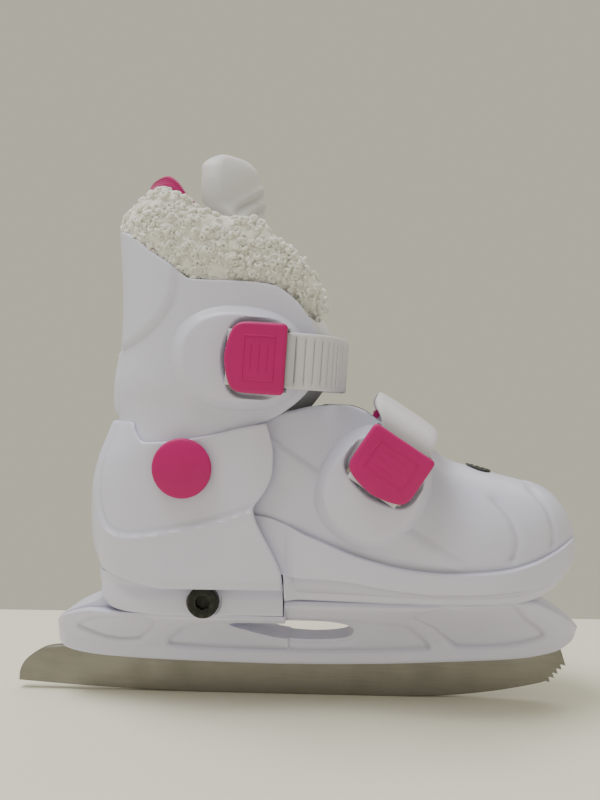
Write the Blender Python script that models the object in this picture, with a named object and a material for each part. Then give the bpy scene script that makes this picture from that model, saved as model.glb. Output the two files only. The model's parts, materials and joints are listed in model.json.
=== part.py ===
"""Child's size-adjustable hard-shell ice skate: one right skate, buckles on the outer side.

Frame: +X to the toe, +Z up, buckle side at -Y. The origin lies on the ice under the middle of
the skate's box. Dimensions are in millimetres here, and MM turns them into metres.
"""

import math

import bmesh
import bpy
from mathutils import Vector

MM = 0.001
GAP = 0.4                      # clearance between pieces that touch
WALL = 2.6                     # moulded shell thickness

# Driving dimensions
TAIL_X = -121.3                # rear end of the blade
TIP_X = 121.3                  # front tip of the chassis
TOE_X = 120.0                  # front of the toe shell
BLADE_HALF = 2.0
BUCKLE_OUT = 49.5              # how far the buckles stand out from the middle plane
PIVOT_X = -41.0                # ankle joint
PIVOT_Z = 100.4
CAP_R = 12.0
CLAMP_X = -33.5                # screw that locks the shell length
CLAMP_Z = 46.2
SIZE_TRAVEL = 18.0             # how far the heel slides back to lengthen the boot
SLOT_HALF = 3.6                # half-height of the slot that the clamp screw slides in
RAIL_HALF = 17.0               # rail of the chassis under the heel
RAIL_TOP = 51.2
SOLE_Z = 46.6                  # underside of the toe shell
HEEL_FRONT_X = -1.6            # front face of the heel saddle
BUCKLE_TILT = {"ankle": -4.0, "instep": 56.0}
BUCKLE_PLACE = {"ankle": (-9.0, 143.6), "instep": (41.3, 103.0)}
STRAP_WIDTH = 22.0
STRAP_THICK = 2.4
STRAP_SIDE = 43.0              # outer face of a strap beside the foot

WHITE = (0.80, 0.79, 0.84)
PINK = (0.62, 0.02, 0.20)
STEEL = (0.46, 0.44, 0.40)
BLACK = (0.03, 0.03, 0.03)
FLEECE = (0.86, 0.85, 0.80)
GREY = (0.45, 0.45, 0.47)


# ---------------------------------------------------------------- helpers

def clear_scene():
    for obj in list(bpy.data.objects):
        bpy.data.objects.remove(obj, do_unlink=True)


def material(name, colour, roughness, metallic=0.0):
    made = bpy.data.materials.new(name)
    made.use_nodes = True
    shader = made.node_tree.nodes["Principled BSDF"]
    shader.inputs["Base Color"].default_value = (*colour, 1.0)
    shader.inputs["Roughness"].default_value = roughness
    shader.inputs["Metallic"].default_value = metallic
    return made


def empty(name, place, parent=None, turn_y=0.0):
    made = bpy.data.objects.new(name, None)
    bpy.context.scene.collection.objects.link(made)
    made.empty_display_size = 0.01
    made.parent = parent
    made.location = Vector(place) * MM
    made.rotation_euler = (0.0, math.radians(turn_y), 0.0)
    bpy.context.view_layer.update()
    return made


def node(name, points, faces, look, body):
    """A named solid. World points are turned into the frame of its body's empty."""
    mesh = bpy.data.meshes.new(name)
    back = body.matrix_world.inverted()
    mesh.from_pydata([back @ (Vector(p) * MM) for p in points], [], faces)
    work = bmesh.new()
    work.from_mesh(mesh)
    bmesh.ops.remove_doubles(work, verts=work.verts, dist=1e-6)
    bmesh.ops.dissolve_degenerate(work, edges=work.edges, dist=1e-7)
    bmesh.ops.recalc_face_normals(work, faces=work.faces)
    work.to_mesh(mesh)
    work.free()
    mesh.materials.append(look)
    mesh.shade_smooth()
    mesh.set_sharp_from_angle(angle=math.radians(35))
    obj = bpy.data.objects.new(name, mesh)
    bpy.context.scene.collection.objects.link(obj)
    obj.parent = body
    return obj


def along(knots, x):
    """Smooth curve through (x, value) knots, held level beyond its ends."""
    if x <= knots[0][0]:
        return knots[0][1]
    if x >= knots[-1][0]:
        return knots[-1][1]
    last = len(knots) - 1
    k = max(i for i in range(last) if knots[i][0] <= x)
    (x0, v0), (x1, v1) = knots[k], knots[k + 1]
    step = (v1 - v0) / (x1 - x0)

    def slope(i, own):
        if i == 0 or i == last:
            return own
        before = (knots[i][1] - knots[i - 1][1]) / (knots[i][0] - knots[i - 1][0])
        after = (knots[i + 1][1] - knots[i][1]) / (knots[i + 1][0] - knots[i][0])
        return 0.0 if before * after <= 0 else 2 * before * after / (before + after)

    m0, m1 = slope(k, step), slope(k + 1, step)
    t = (x - x0) / (x1 - x0)
    span = x1 - x0
    return (v0 * (2 * t**3 - 3 * t**2 + 1) + v1 * (3 * t**2 - 2 * t**3)
            + span * (m0 * (t**3 - 2 * t**2 + t) + m1 * (t**3 - t**2)))


def spread(low, high, count):
    return [low + (high - low) * i / (count - 1) for i in range(count)]


def same(a, b):
    return (Vector(a) - Vector(b)).length < 1e-4


def thin_shell(outer, inner, capped=False):
    """Points and faces of a wall between two grids of rows, closed along all its free edges.

    When capped, the last row of each grid is a small closed ring, filled by a face of its own.
    """
    rows, cols = len(outer), len(outer[0])
    points = [p for row in outer for p in row] + [p for row in inner for p in row]
    half = rows * cols

    def at(i, j, side):
        return side * half + i * cols + j

    faces = []
    for i in range(rows - 1):
        for j in range(cols - 1):
            faces.append([at(i, j, 0), at(i + 1, j, 0), at(i + 1, j + 1, 0), at(i, j + 1, 0)])
            faces.append([at(i, j, 1), at(i, j + 1, 1), at(i + 1, j + 1, 1), at(i + 1, j, 1)])
        joined = same(outer[i][0], outer[i][-1]) and same(outer[i + 1][0], outer[i + 1][-1])
        if not joined:
            for j in (0, cols - 1):
                faces.append([at(i, j, 0), at(i + 1, j, 0), at(i + 1, j, 1), at(i, j, 1)])
    for i in (0,) if capped else (0, rows - 1):
        for j in range(cols - 1):
            faces.append([at(i, j, 0), at(i, j + 1, 0), at(i, j + 1, 1), at(i, j, 1)])
    if capped:
        for side in (0, 1):
            faces.append([at(rows - 1, j, side) for j in range(cols - 1)])
    return points, faces


def loft(rings):
    """Points and faces of a solid through closed rings of equal length, with flat ends."""
    count = len(rings[0])
    points = [p for ring in rings for p in ring]
    faces = []
    for i in range(len(rings) - 1):
        for j in range(count):
            k = (j + 1) % count
            faces.append([i * count + j, i * count + k, (i + 1) * count + k, (i + 1) * count + j])
    faces.append(list(range(count)))
    faces.append([(len(rings) - 1) * count + j for j in reversed(range(count))])
    return points, faces


def prism(outline, low, high, taper=0.0):
    """Outline of (x, z) points drawn out along Y, its end faces drawn in by a rounding taper."""
    middle = Vector((sum(p[0] for p in outline), sum(p[1] for p in outline))) / len(outline)

    def ring(y, inset):
        made = []
        for p in outline:
            out = Vector(p) - middle
            out = out * (1 - inset / max(out.length, inset + 0.01))
            made.append((middle.x + out.x, y, middle.y + out.y))
        return made

    if not taper:
        return loft([ring(low, 0), ring(high, 0)])
    return loft([ring(low, taper), ring(low + taper, 0), ring(high - taper, 0), ring(high, taper)])


def oval(cx, cz, rx, rz, count=28, power=2.0, turn=0.0):
    made = []
    for i in range(count):
        a = 2 * math.pi * i / count
        x = rx * math.copysign(abs(math.cos(a)) ** (2 / power), math.cos(a))
        z = rz * math.copysign(abs(math.sin(a)) ** (2 / power), math.sin(a))
        t = math.radians(turn)
        made.append((cx + x * math.cos(t) - z * math.sin(t), cz + x * math.sin(t) + z * math.cos(t)))
    return made


def turned(profile, cx, cz, count=24):
    """Solid of revolution about an axis along Y through (cx, cz); profile lists (radius, y)."""
    rings = []
    for radius, y in profile:
        rings.append([(x, y, z) for x, z in oval(cx, cz, radius, radius, count)])
    return loft(rings)


def cutter(name, points, faces, body):
    made = node(name, points, faces, LOOK["white"], body)
    made.hide_render = True
    made.display_type = "WIRE"
    return made


def boolean(obj, other, operation):
    made = obj.modifiers.new(operation.lower() + "_" + other.name, "BOOLEAN")
    made.operation = operation
    made.solver = "EXACT"
    made.object = other


# ---------------------------------------------------------------- boot surfaces

PLAN = [(-62, 30.6), (-45, 31.2), (-20, 31.8), (0, 33.0), (20, 35.6), (42, 38.8), (60, 40.2),
        (76, 39.4), (90, 35.8), (102, 29.4), (110, 22.6), (116, 14.4), (119, 7.2), (TOE_X, 2.2)]
RIM_Z = [(-62, 84), (-10, 80.8), (10, 72.8), (32, 64.9), (48, 61.5), (65, 60.1), (84, 60.9),
         (98, 63.5), (108, 67.0), (116, 69.5), (120, 70.0)]
BAND_LOW = [(-62, 60), (-6, 60), (2, 57.2), (21, 56), (45, 52.8), (60, 51.7), (75, 51.9),
            (90, 53.8), (104, 57.0), (114, 62.5), (120, 68.0)]
SOLE = [(-62, 57.0), (-1.2, 57.0), (-0.9, SOLE_Z), (92, SOLE_Z), (104, 49.0), (113, 54.5), (120, 67.0)]
TOP_Z = [(-62, 218), (-30, 190), (0, 165), (20, 144), (34, 130), (45, 120.5), (54, 112.5),
         (61, 106.6), (68, 101.6), (78, 98.6), (88, 95.8), (98, 93.2), (106, 90.6), (112, 86.4),
         (116, 81.0), (119, 74.0), (120, 71.0)]
EDGE_Z = [(-62, 112), (-30, 120), (0, 123.0), (12, 125.2), (24, 125.4), (31, 123.4), (38, 118.5),
          (46, 114.6), (53, 111.6), (57, 110.2)]
THROAT_X = 57.5                # front end of the toe shell's opening


def toe_side(x, z, inset=0.0):
    """Half-width of the toe shell at a height above its rim."""
    low, high = along(RIM_Z, x), along(TOP_Z, x) - inset
    t = min(max((z - low) / (high - low), 0.0), 1.0)
    return (along(PLAN, x) - 0.8 - inset) * math.sqrt(max(1 - t**2.3, 0.0))


def toe_half_section(x, inset, steps=7):
    """(y, z) points from the middle of the sole up to the opening's edge or the top."""
    plan = max(along(PLAN, x) - inset, 0.3)
    sole = (along(SOLE, x) if inset <= WALL else HEEL_FLOOR_TOP + 0.7) + inset
    rim, low = along(RIM_Z, x), along(BAND_LOW, x)
    top = max(along(TOP_Z, x) - inset, rim + 0.5)
    proud = 1.5 * min(max((x + 1) / 5, 0.0), 1.0) if inset == 0 else 0.0
    proud = min(proud, plan * 0.12)
    low = max(low, sole + 2.2)
    rim = max(rim, low + 1.6)
    top = max(top, rim + 0.6)
    points = [(0, sole), (plan * 0.5, sole), (plan * 0.84, sole + 0.4), (plan * 0.97, (sole + low) / 2)]
    points += [(plan + proud, low + 0.8), (plan + proud, rim - 0.7), (plan + proud * 0.5, rim)]
    open_here = x < THROAT_X
    last = 1.0
    if open_here:
        last = min((along(EDGE_Z, x) - rim) / (top - rim), 0.995)
    end = math.asin(last ** 1.15)
    for k in range(1, steps + 1):
        a = end * k / steps
        y = (plan - 0.8) * math.cos(a)
        z = rim + (top - rim) * math.sin(a) ** (1 / 1.15)
        points.append((max(y, 0.0) if open_here or k < steps else 0.0, z))
    return points


def toe_ring(x, inset, own_x=None):
    half = toe_half_section(x, inset)
    place = x if own_x is None else own_x
    near = [(place, -y, z) for y, z in reversed(half)]
    far = [(place, y, z) for y, z in half[1:]]
    return near + far


BACK_X = [(40, -82.4), (50, -82.8), (57, -84.2), (63, -86.4), (70, -87.9), (80, -88.3), (90, -88.0),
          (97, -86.9), (104, -85.0), (112, -81.6), (119, -78.6)]
LOBE_FRONT = [(50, -1.8), (57, -1.6), (63, -3.6), (68, -6.0), (74, -9.2), (80, -11.9), (85, -12.8),
              (88, -10.4), (93, -7.2), (99, -5.2), (106, -4.9), (113, -6.0), (119, -8.0)]
HEEL_HALF = [(50, 36.2), (60, 36.5), (80, 37.2), (100, 37.2), (119, 37.3)]
HEEL_TOP = [(-90, 119.0), (-69, 118.6), (-66, 112.6), (-62, 110.3), (-54, 110.8), (-36, 113.3),
            (-20, 116.6), (-8, 118.2)]
HEEL_LOW = 52.9
HEEL_FLOOR_TOP = 56.3


def plan_arc(front, back, half, s, lean=1.0, power=2.3):
    """Point of a U in plan: s runs from -1 at the near front end to 1 at the far one."""
    centre = back + half * 1.05
    side = math.copysign(1.0, s)
    bend = 0.55
    if abs(s) > bend:
        t = (abs(s) - bend) / (1 - bend)
        x = centre + (front - centre) * t
        y = half * (1 - (1 - lean) * t**2)
    else:
        a = abs(s) / bend * math.pi / 2
        x = centre - (centre - back) * abs(math.cos(a)) ** (2 / power)
        y = half * math.sin(a) ** (2 / power)
    return x, side * y


def heel_grid(inset, cols=23, rows=10):
    grid = []
    for i in range(rows):
        v = i / (rows - 1)
        row = []
        for s in spread(-1, 1, cols):
            near_x = plan_arc(-8, -84, 36, s)[0]
            z = HEEL_LOW + v * (along(HEEL_TOP, near_x) - HEEL_LOW)
            back, front = along(BACK_X, z) + inset, along(LOBE_FRONT, z)
            x, y = plan_arc(front, back, along(HEEL_HALF, z) - inset, s)
            row.append((x, y, z))
        grid.append(row)
    return grid


CUFF_BACK = [(86, -80.0), (100, -81.5), (106, -80.6), (113, -77.2), (119, -74.9), (126, -75.4),
             (134, -75.6), (150, -74.3), (172, -74.2), (190, -75.0), (203, -76.0)]
CUFF_HALF = [(86, 34.0), (124, 34.1), (134, 36.8), (155, 38.0), (176, 37.0), (203, 34.0)]
CUFF_TOP = [(-90, 202.5), (-74, 199.0), (-65, 194.0), (-59, 188.2), (-48, 180.0), (-43, 175.8),
            (-27, 175.2), (-15, 174.5), (-6, 173.0), (0, 169.6), (5, 165.3), (9, 160.0), (13, 154.0)]
CUFF_LOW = [(-90, 103.0), (-70, 101.0), (-60, 92.0), (-52, 88.2), (-41, 86.8), (-31, 88.6), (-24, 96.0),
            (-18, 110.0), (-12, 117.0), (-6, 119.6), (2, 124.6), (9, 131.4), (13, 139.0)]
CUFF_FRONT_X = 12.8
CUFF_LEAN = 0.86


def cuff_side(x, z):
    """Half-width of the cuff's outer face beside the ankle."""
    back, half = along(CUFF_BACK, z), along(CUFF_HALF, z)
    centre = back + half * 1.05
    t = min(max((x - centre) / (CUFF_FRONT_X - centre), 0.0), 1.0)
    return half * (1 - (1 - CUFF_LEAN) * t**2)


def cuff_grid(inset, cols=27, rows=11):
    grid = []
    for i in range(rows):
        v = i / (rows - 1)
        row = []
        for s in spread(-1, 1, cols):
            x_here = plan_arc(CUFF_FRONT_X, -76, 36, s)[0]
            low, high = along(CUFF_LOW, x_here), along(CUFF_TOP, x_here)
            z = low + v * (high - low)
            half = along(CUFF_HALF, z) - inset
            x, y = plan_arc(CUFF_FRONT_X, along(CUFF_BACK, z) + inset, half, s, CUFF_LEAN)
            row.append((x, y, z))
        grid.append(row)
    return grid


def pod(cx, cz, rx, rz, turn, face_y, back_y, side=-1, power=2.3, count=22):
    """Raised oval seat for a buckle; back_y(x, z) is the depth of its back, side is -1 or 1."""
    front, rear = [], []
    shares = [0.34, 0.66, 0.88, 1.0]
    for share in shares:
        drop = 0.0 if share < 0.88 else (1.2 if share < 1.0 else 4.2)
        outline = oval(cx, cz, rx * share, rz * share, count, power, turn)
        front.append([(x, side * max(face_y - drop, back_y(x, z) + 0.4), z) for x, z in outline])
        rear.append([(x, side * back_y(x, z), z) for x, z in outline])
    points = [(cx, side * face_y, cz)] + [p for ring in front for p in ring]
    back_from = len(points)
    points += [(cx, side * back_y(cx, cz), cz)] + [p for ring in rear for p in ring]
    faces = []
    for start in (0, back_from):
        for j in range(count):
            k = (j + 1) % count
            faces.append([start, start + 1 + j, start + 1 + k])
            for r in range(len(shares) - 1):
                a = start + 1 + r * count
                faces.append([a + j, a + count + j, a + count + k, a + k])
    outer = 1 + (len(shares) - 1) * count
    for j in range(count):
        k = (j + 1) % count
        faces.append([outer + j, back_from + outer + j, back_from + outer + k, outer + k])
    return points, faces


# ---------------------------------------------------------------- blade and chassis

ROCKER = [(-121.3, 3.6), (-85, 1.9), (-55, 0.7), (-30, 0.0), (40, 0.0), (64, 0.6), (82, 2.8),
          (104, 6.6)]
PICK_TIPS = [(116.6, 14.5), (114.9, 12.4), (113.1, 10.4), (111.5, 8.6), (110.0, 6.9)]
PICK_NOTCH = 2.3               # how far each notch cuts back from its tip
BLADE_TAIL_ARC = [(-121.0, 7.0), (-118.6, 12.0), (-114.0, 15.8), (-107.5, 18.3), (-95.0, 19.4)]
BLADE_TOP = 24.0
CHASSIS_LOW = [(-103.1, 27.2), (-99.0, 21.4), (-90.7, 18.6), (-78, 16.8), (-39, 15.2), (4, 14.7),
               (38, 15.4), (63, 16.6), (84, 17.8), (97, 19.0), (106, 20.8), (114, 23.4), (121.3, 29.0)]
CHASSIS_SHOULDER = [(-103.1, 28.6), (-101, 33.0), (-92, 37.4), (-83, 39.6), (-2.4, 39.8)]
CHASSIS_HALF = [(-103.1, 5.0), (-99, 11.0), (-90, 17.0), (-76, 22.5), (-60, 25.5), (-20, 27.0),
                (10, 28.5), (40, 29.0), (70, 27.0), (90, 23.0), (106, 16.0), (116, 9.0), (121.3, 3.0)]
CHASSIS_FRONT_TOP = [(-1, 46.2), (92, 46.2), (104.6, 45.2), (107, 42.8), (111.3, 39.7), (115.7, 37.2),
                     (119, 33.6), (121.3, 30.4)]
RAIL_TOP_Z = [(-103.1, 29.4), (-101, 34.2), (-92, 39.2), (-83, 42.4), (-76, 46.6), (-70, 50.2),
              (-64, RAIL_TOP), (-1, RAIL_TOP)]
WINDOW = [(-20, 35.2), (12, 35.6), (20, 34.4), (25.6, 32.8), (26.8, 30.6), (25.6, 27.8), (21.0, 26.2),
          (9.4, 25.4), (-4, 26.4), (-13, 28.8), (-19.6, 31.4), (-24.6, 33.6), (-24.8, 34.8)]
CHASSIS_STATIONS = [-103.1, -101.5, -99, -95, -90, -83, -76, -70, -64, -54, -40, -25, -12, -1.3]
CHASSIS_STATIONS += [-1.1, 6, 16, 28, 40, 52, 64, 76, 88, 97, 104.5, 109, 113.5, 117.5, 120.2, TIP_X]
SLOT_TOP = 24.4                # top of the blade's slot in the chassis


def chassis_ring(x):
    low = along(CHASSIS_LOW, x)
    half = along(CHASSIS_HALF, x)
    front = x > -1.2
    shoulder = along(CHASSIS_FRONT_TOP, x) - 0.4 if front else along(CHASSIS_SHOULDER, x)
    top = along(CHASSIS_FRONT_TOP, x) if front else max(along(RAIL_TOP_Z, x), shoulder + 0.4)
    rise = max(shoulder - low, 1.0)
    foot = min(9.0, half * 0.8)
    waist = min(8.4, half * 0.75)
    rail = half - 1.4 if front else min(RAIL_HALF, half * 0.8)
    profile = [(foot * 0.72, low), (foot, low + 0.07 * rise), (foot, low + 0.24 * rise),
               (waist, low + 0.5 * rise), (waist + (half - waist) * 0.45, low + 0.74 * rise),
               (half - 0.3, low + 0.93 * rise), (half - 0.4, shoulder), (rail, shoulder + 0.1),
                (rail, top)]
    right = [(x, -y, z) for y, z in reversed(profile)]
    return right + [(x, y, z) for y, z in profile]


def make_blade(body):
    outline = [(x, z) for x, z in BLADE_TAIL_ARC[::-1]]
    outline += ROCKER
    for tip_x, tip_z in PICK_TIPS[::-1]:
        outline += [(tip_x - PICK_NOTCH, tip_z - 0.1), (tip_x, tip_z)]
    outline += [(114.6, 21.4), (108.0, BLADE_TOP), (-78.0, BLADE_TOP), (-80.5, 19.9)]
    obj = node("blade", *prism(outline, -BLADE_HALF, BLADE_HALF), LOOK["steel"], body)
    for name, x in (("rear", -62.0), ("front", 84.0)):
        hole = cutter(f"blade_lock_{name}_hole", *turned([(2.4, -6), (2.4, 6)], x, 20.6, 16), body)
        boolean(obj, hole, "DIFFERENCE")


def make_chassis(body):
    obj = node("chassis", *loft([chassis_ring(x) for x in CHASSIS_STATIONS]), LOOK["white"], body)
    boolean(obj, cutter("window_cut", *prism(WINDOW, -45, 45), body), "DIFFERENCE")
    slot = [(-99, 5), (118, 5), (118, 22.4), (109, SLOT_TOP), (-78.6, SLOT_TOP), (-81.2, 20.3),
            (-99, 20.3)]
    wide = BLADE_HALF + 0.35
    boolean(obj, cutter("blade_slot", *prism(slot, -wide, wide), body), "DIFFERENCE")
    front_x, rear_x = CLAMP_X + 1.0, CLAMP_X - SIZE_TRAVEL - 1.0
    ring = oval(0.0, CLAMP_Z, SLOT_HALF, SLOT_HALF, 20)
    long_slot = [(x + (front_x if x > 0.01 else rear_x), z) for x, z in ring]
    boolean(obj, cutter("clamp_slot", *prism(long_slot, -30, 30), body), "DIFFERENCE")


# ---------------------------------------------------------------- shells

TOE_STATIONS = [-50, -36, -22, -10, -1.25, -0.85, 6, 16, 26, 35, 43, 51, THROAT_X, 63, 71, 80,
                89, 98, 105, 110.5, 115, 118, 119.9]
POD = {"ankle": (-18.5, 144.2, 27.0, 20.8, -4.0, 42.2), "instep": (34.6, 93.0, 23.8, 19.6, 56.0, 42.2)}
POCKET_FLOOR = 38.2
INNER_POD = {"ankle": (-9.0, 143.6, 17.0, 17.0, -4.0, 38.2),
             "instep": (37.3, 97.4, 16.5, 15.5, 56.0, 38.2)}


def ankle_pod_back(x, z):
    return cuff_side(x, z) - 1.3


def instep_pod_back(x, z):
    return toe_side(x, z) - 1.4


def pocket_cut(kind, body):
    """Rounded recess that the buckle sits in, open towards the strap."""
    shape = [(-16.0, -11.5), (-13.0, -15.6), (30.0, -15.6), (30.0, 15.6), (-13.0, 15.6), (-16.0, 11.5)]
    points, faces = prism(shape, -60, -POCKET_FLOOR)
    return cutter(kind + "_pocket", [seat(kind, p) for p in points], faces, body)


def seat(kind, point):
    """World point of a buckle point: u along the strap, y across the skate, w across the strap."""
    u, y, w = point
    a = math.radians(BUCKLE_TILT[kind])
    cx, cz = BUCKLE_PLACE[kind]
    return (cx + u * math.cos(a) - w * math.sin(a), y, cz + u * math.sin(a) + w * math.cos(a))


def rivet_places(kind):
    spots = ((-8.0, -6.0), (-8.0, 6.0))
    return [seat(kind, (u, 0, w)) for u, w in spots]


def make_toe_shell(body):
    outer = [toe_ring(x, 0.0) for x in TOE_STATIONS]
    inner = [toe_ring(x, WALL, x - WALL * max(0.0, (x - 90) / 30)) for x in TOE_STATIONS]
    obj = node("toe_shell", *thin_shell(outer, inner, capped=True), LOOK["white"], body)
    points, faces = pod(*POD["instep"], instep_pod_back)
    boolean(obj, cutter("instep_pod", points, faces, body), "UNION")
    points, faces = pod(*INNER_POD["instep"], instep_pod_back, side=1)
    boolean(obj, cutter("instep_inner_pod", points, faces, body), "UNION")
    boolean(obj, pocket_cut("instep", body), "DIFFERENCE")
    for i, (x, _, z) in enumerate(rivet_places("instep")):
        hole = cutter(f"instep_rivet_hole_{i}", *turned([(1.9, -60), (1.9, -33.2)], x, z, 12), body)
        boolean(obj, hole, "DIFFERENCE")


def saddle_block():
    """Block under the heel that straddles the chassis rail."""
    outline = []
    for s in spread(-1, 1, 17):
        outline.append(plan_arc(HEEL_FRONT_X, -82.6, 30.4, s, 1.0, 2.6))
    return loft([[(x, y, z) for x, y in outline] for z in (40.4, 53.4)])


def make_heel_shell(body):
    obj = node("heel_shell", *thin_shell(heel_grid(0.0), heel_grid(WALL)), LOOK["white"], body)
    floor = [plan_arc(HEEL_FRONT_X, -82.0, 34.2, s) for s in spread(-1, 1, 21)]
    plate = loft([[(x, y, z) for x, y in floor] for z in (HEEL_LOW + 0.1, HEEL_FLOOR_TOP)])
    boolean(obj, cutter("heel_floor", *plate, body), "UNION")
    boolean(obj, cutter("heel_saddle", *saddle_block(), body), "UNION")
    wide = RAIL_HALF + 0.5
    channel = [(-wide, 30), (wide, 30), (wide, RAIL_TOP + 0.5), (-wide, RAIL_TOP + 0.5)]
    cut = loft([[(x, y, z) for y, z in channel] for x in (-95, 10)])
    boolean(obj, cutter("rail_channel", *cut, body), "DIFFERENCE")
    for name, x, z, radius, y0, y1 in (("clamp_hole", CLAMP_X, CLAMP_Z, 3.0, -40, 40),
                                       ("pivot_hole", PIVOT_X, PIVOT_Z, 4.6, -50, 50),
                                       ("clamp_head_seat", CLAMP_X, CLAMP_Z, 7.6, -50, -30)):
        bore = turned([(radius, y0), (radius, y1)], x, z, 24)
        boolean(obj, cutter(name, *bore, body), "DIFFERENCE")


def make_cuff(body):
    obj = node("cuff", *thin_shell(cuff_grid(0.0), cuff_grid(1.8)), LOOK["white"], body)
    points, faces = pod(*POD["ankle"], ankle_pod_back)
    boolean(obj, cutter("ankle_pod", points, faces, body), "UNION")
    points, faces = pod(*INNER_POD["ankle"], ankle_pod_back, side=1)
    boolean(obj, cutter("ankle_inner_pod", points, faces, body), "UNION")
    boolean(obj, pocket_cut("ankle", body), "DIFFERENCE")
    bore = turned([(4.6, -50), (4.6, 50)], PIVOT_X, PIVOT_Z, 20)
    boolean(obj, cutter("cuff_pivot_hole", *bore, body), "DIFFERENCE")
    for i, (x, _, z) in enumerate(rivet_places("ankle")):
        hole = cutter(f"ankle_rivet_hole_{i}", *turned([(1.9, -60), (1.9, -20)], x, z, 12), body)
        boolean(obj, hole, "DIFFERENCE")


# ---------------------------------------------------------------- pivot and clamp hardware

def make_pivots(body):
    for side, name in ((-1, "outer"), (1, "inner")):
        cap = [(11.2, 37.4), (CAP_R, 38.2), (CAP_R - 0.6, 39.6), (CAP_R - 3.2, 40.8), (5.0, 41.6),
               (1.0, 41.8)]
        cap = [(r, side * y) for r, y in cap]
        node(f"pivot_cap_{name}", *turned(cap, PIVOT_X, PIVOT_Z, 28), LOOK["pink"], body)
        rivet = [(6.6, 31.0), (7.0, 31.7), (4.2, 31.8), (4.2, 37.0)]
        node(f"pivot_rivet_{name}", *turned([(r, side * y) for r, y in rivet], PIVOT_X, PIVOT_Z, 20),
             LOOK["steel"], body)


def make_clamp(heel, screw):
    profile = [(2.6, 29.0), (2.6, -30.2), (6.4, -30.3), (6.4, -32.0), (5.6, -33.0), (5.2, -34.8),
               (1.0, -34.8)]
    obj = node("size_clamp_screw", *turned(profile, CLAMP_X, CLAMP_Z, 24), LOOK["black"], screw)
    socket = cutter("hex_socket", *turned([(2.4, -40), (2.4, -31.8)], CLAMP_X, CLAMP_Z, 6), screw)
    boolean(obj, socket, "DIFFERENCE")
    hexagon = turned([(6.0, 30.8), (6.0, 34.2)], CLAMP_X, CLAMP_Z, 6)
    nut = node("size_clamp_nut", *hexagon, LOOK["steel"], heel)
    hole = cutter("nut_hole", *turned([(3.0, 20), (3.0, 50)], CLAMP_X, CLAMP_Z, 20), heel)
    boolean(nut, hole, "DIFFERENCE")


# ---------------------------------------------------------------- buckles and straps

LEVER_PIN = (7.5, -46.0)       # lever hinge in buckle coordinates (u, y)
PAWL_PIN = (-1.5, -45.3)
LEVER_HALF = 13.8
EAR_IN, EAR_OUT = 11.5, 12.3
EAR_EYE = 2.4                  # radius of the eye round the lever pin
PLATE_HALF = 12.6


def seat_solid(kind, shape):
    points, faces = shape
    return [seat(kind, p) for p in points], faces


def slab(outline, w0, w1):
    """Outline of (u, y) points drawn out across the strap."""
    return loft([[(u, y, w) for u, y in outline] for w in (w0, w1)])


def disc(u, y, radius, count=14):
    return oval(u, y, radius, radius, count)


def make_buckle(kind, shell, lever, pawl):
    pin_u, pin_y = LEVER_PIN
    plate = slab([(-13.5, -38.6), (10.5, -38.6), (10.5, -39.8), (-13.5, -39.8)], -PLATE_HALF, PLATE_HALF)
    obj = node(f"{kind}_buckle_base", *seat_solid(kind, plate), LOOK["steel"], shell)
    for side in (-1, 1):
        w0, w1 = sorted((side * EAR_IN, side * EAR_OUT))
        eye = [(pin_u + EAR_EYE * math.cos(a), pin_y - EAR_EYE * math.sin(a))
               for a in (math.radians(30 * k) for k in range(6))]
        ear = slab([(-4.5, -39.0), (10.4, -39.0), (10.4, -43.9), *eye, (3.0, -46.9), (-2.0, -46.9),
                    (-4.5, -45.6)], w0, w1)
        boolean(obj, cutter(f"{kind}_ear_{side}", *seat_solid(kind, ear), shell), "UNION")
    for name, (u, y), radius in (("lever", LEVER_PIN, 1.7), ("pawl", PAWL_PIN, 1.4)):
        hole = slab(disc(u, y, radius), -20, 20)
        boolean(obj, cutter(f"{kind}_{name}_hole", *seat_solid(kind, hole), shell), "DIFFERENCE")
    for i, (x, _, z) in enumerate(rivet_places(kind)):
        hole = cutter(f"{kind}_base_hole_{i}", *turned([(1.9, -60), (1.9, -30)], x, z, 12), shell)
        boolean(obj, hole, "DIFFERENCE")
        rivet = [(1.5, -39.7), (1.5, -34.2)]
        if kind == "ankle":
            rivet = [(1.5, -39.7), (1.5, -33.9), (3.0, -33.8), (3.0, -33.2)]
        node(f"{kind}_buckle_rivet_{'lower' if i == 0 else 'upper'}", *turned(rivet, x, z, 12),
             LOOK["steel"], shell)
    pin = slab(disc(*LEVER_PIN, 1.3), -13.5, 13.5)
    node(f"{kind}_lever_pin", *seat_solid(kind, pin), LOOK["steel"], shell)
    pin = slab(disc(*PAWL_PIN, 1.0), -12.4, 12.4)
    node(f"{kind}_pawl_pin", *seat_solid(kind, pin), LOOK["steel"], shell)
    make_lever(kind, lever)
    make_pawl(kind, pawl)
    make_spring(kind, shell)


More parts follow.
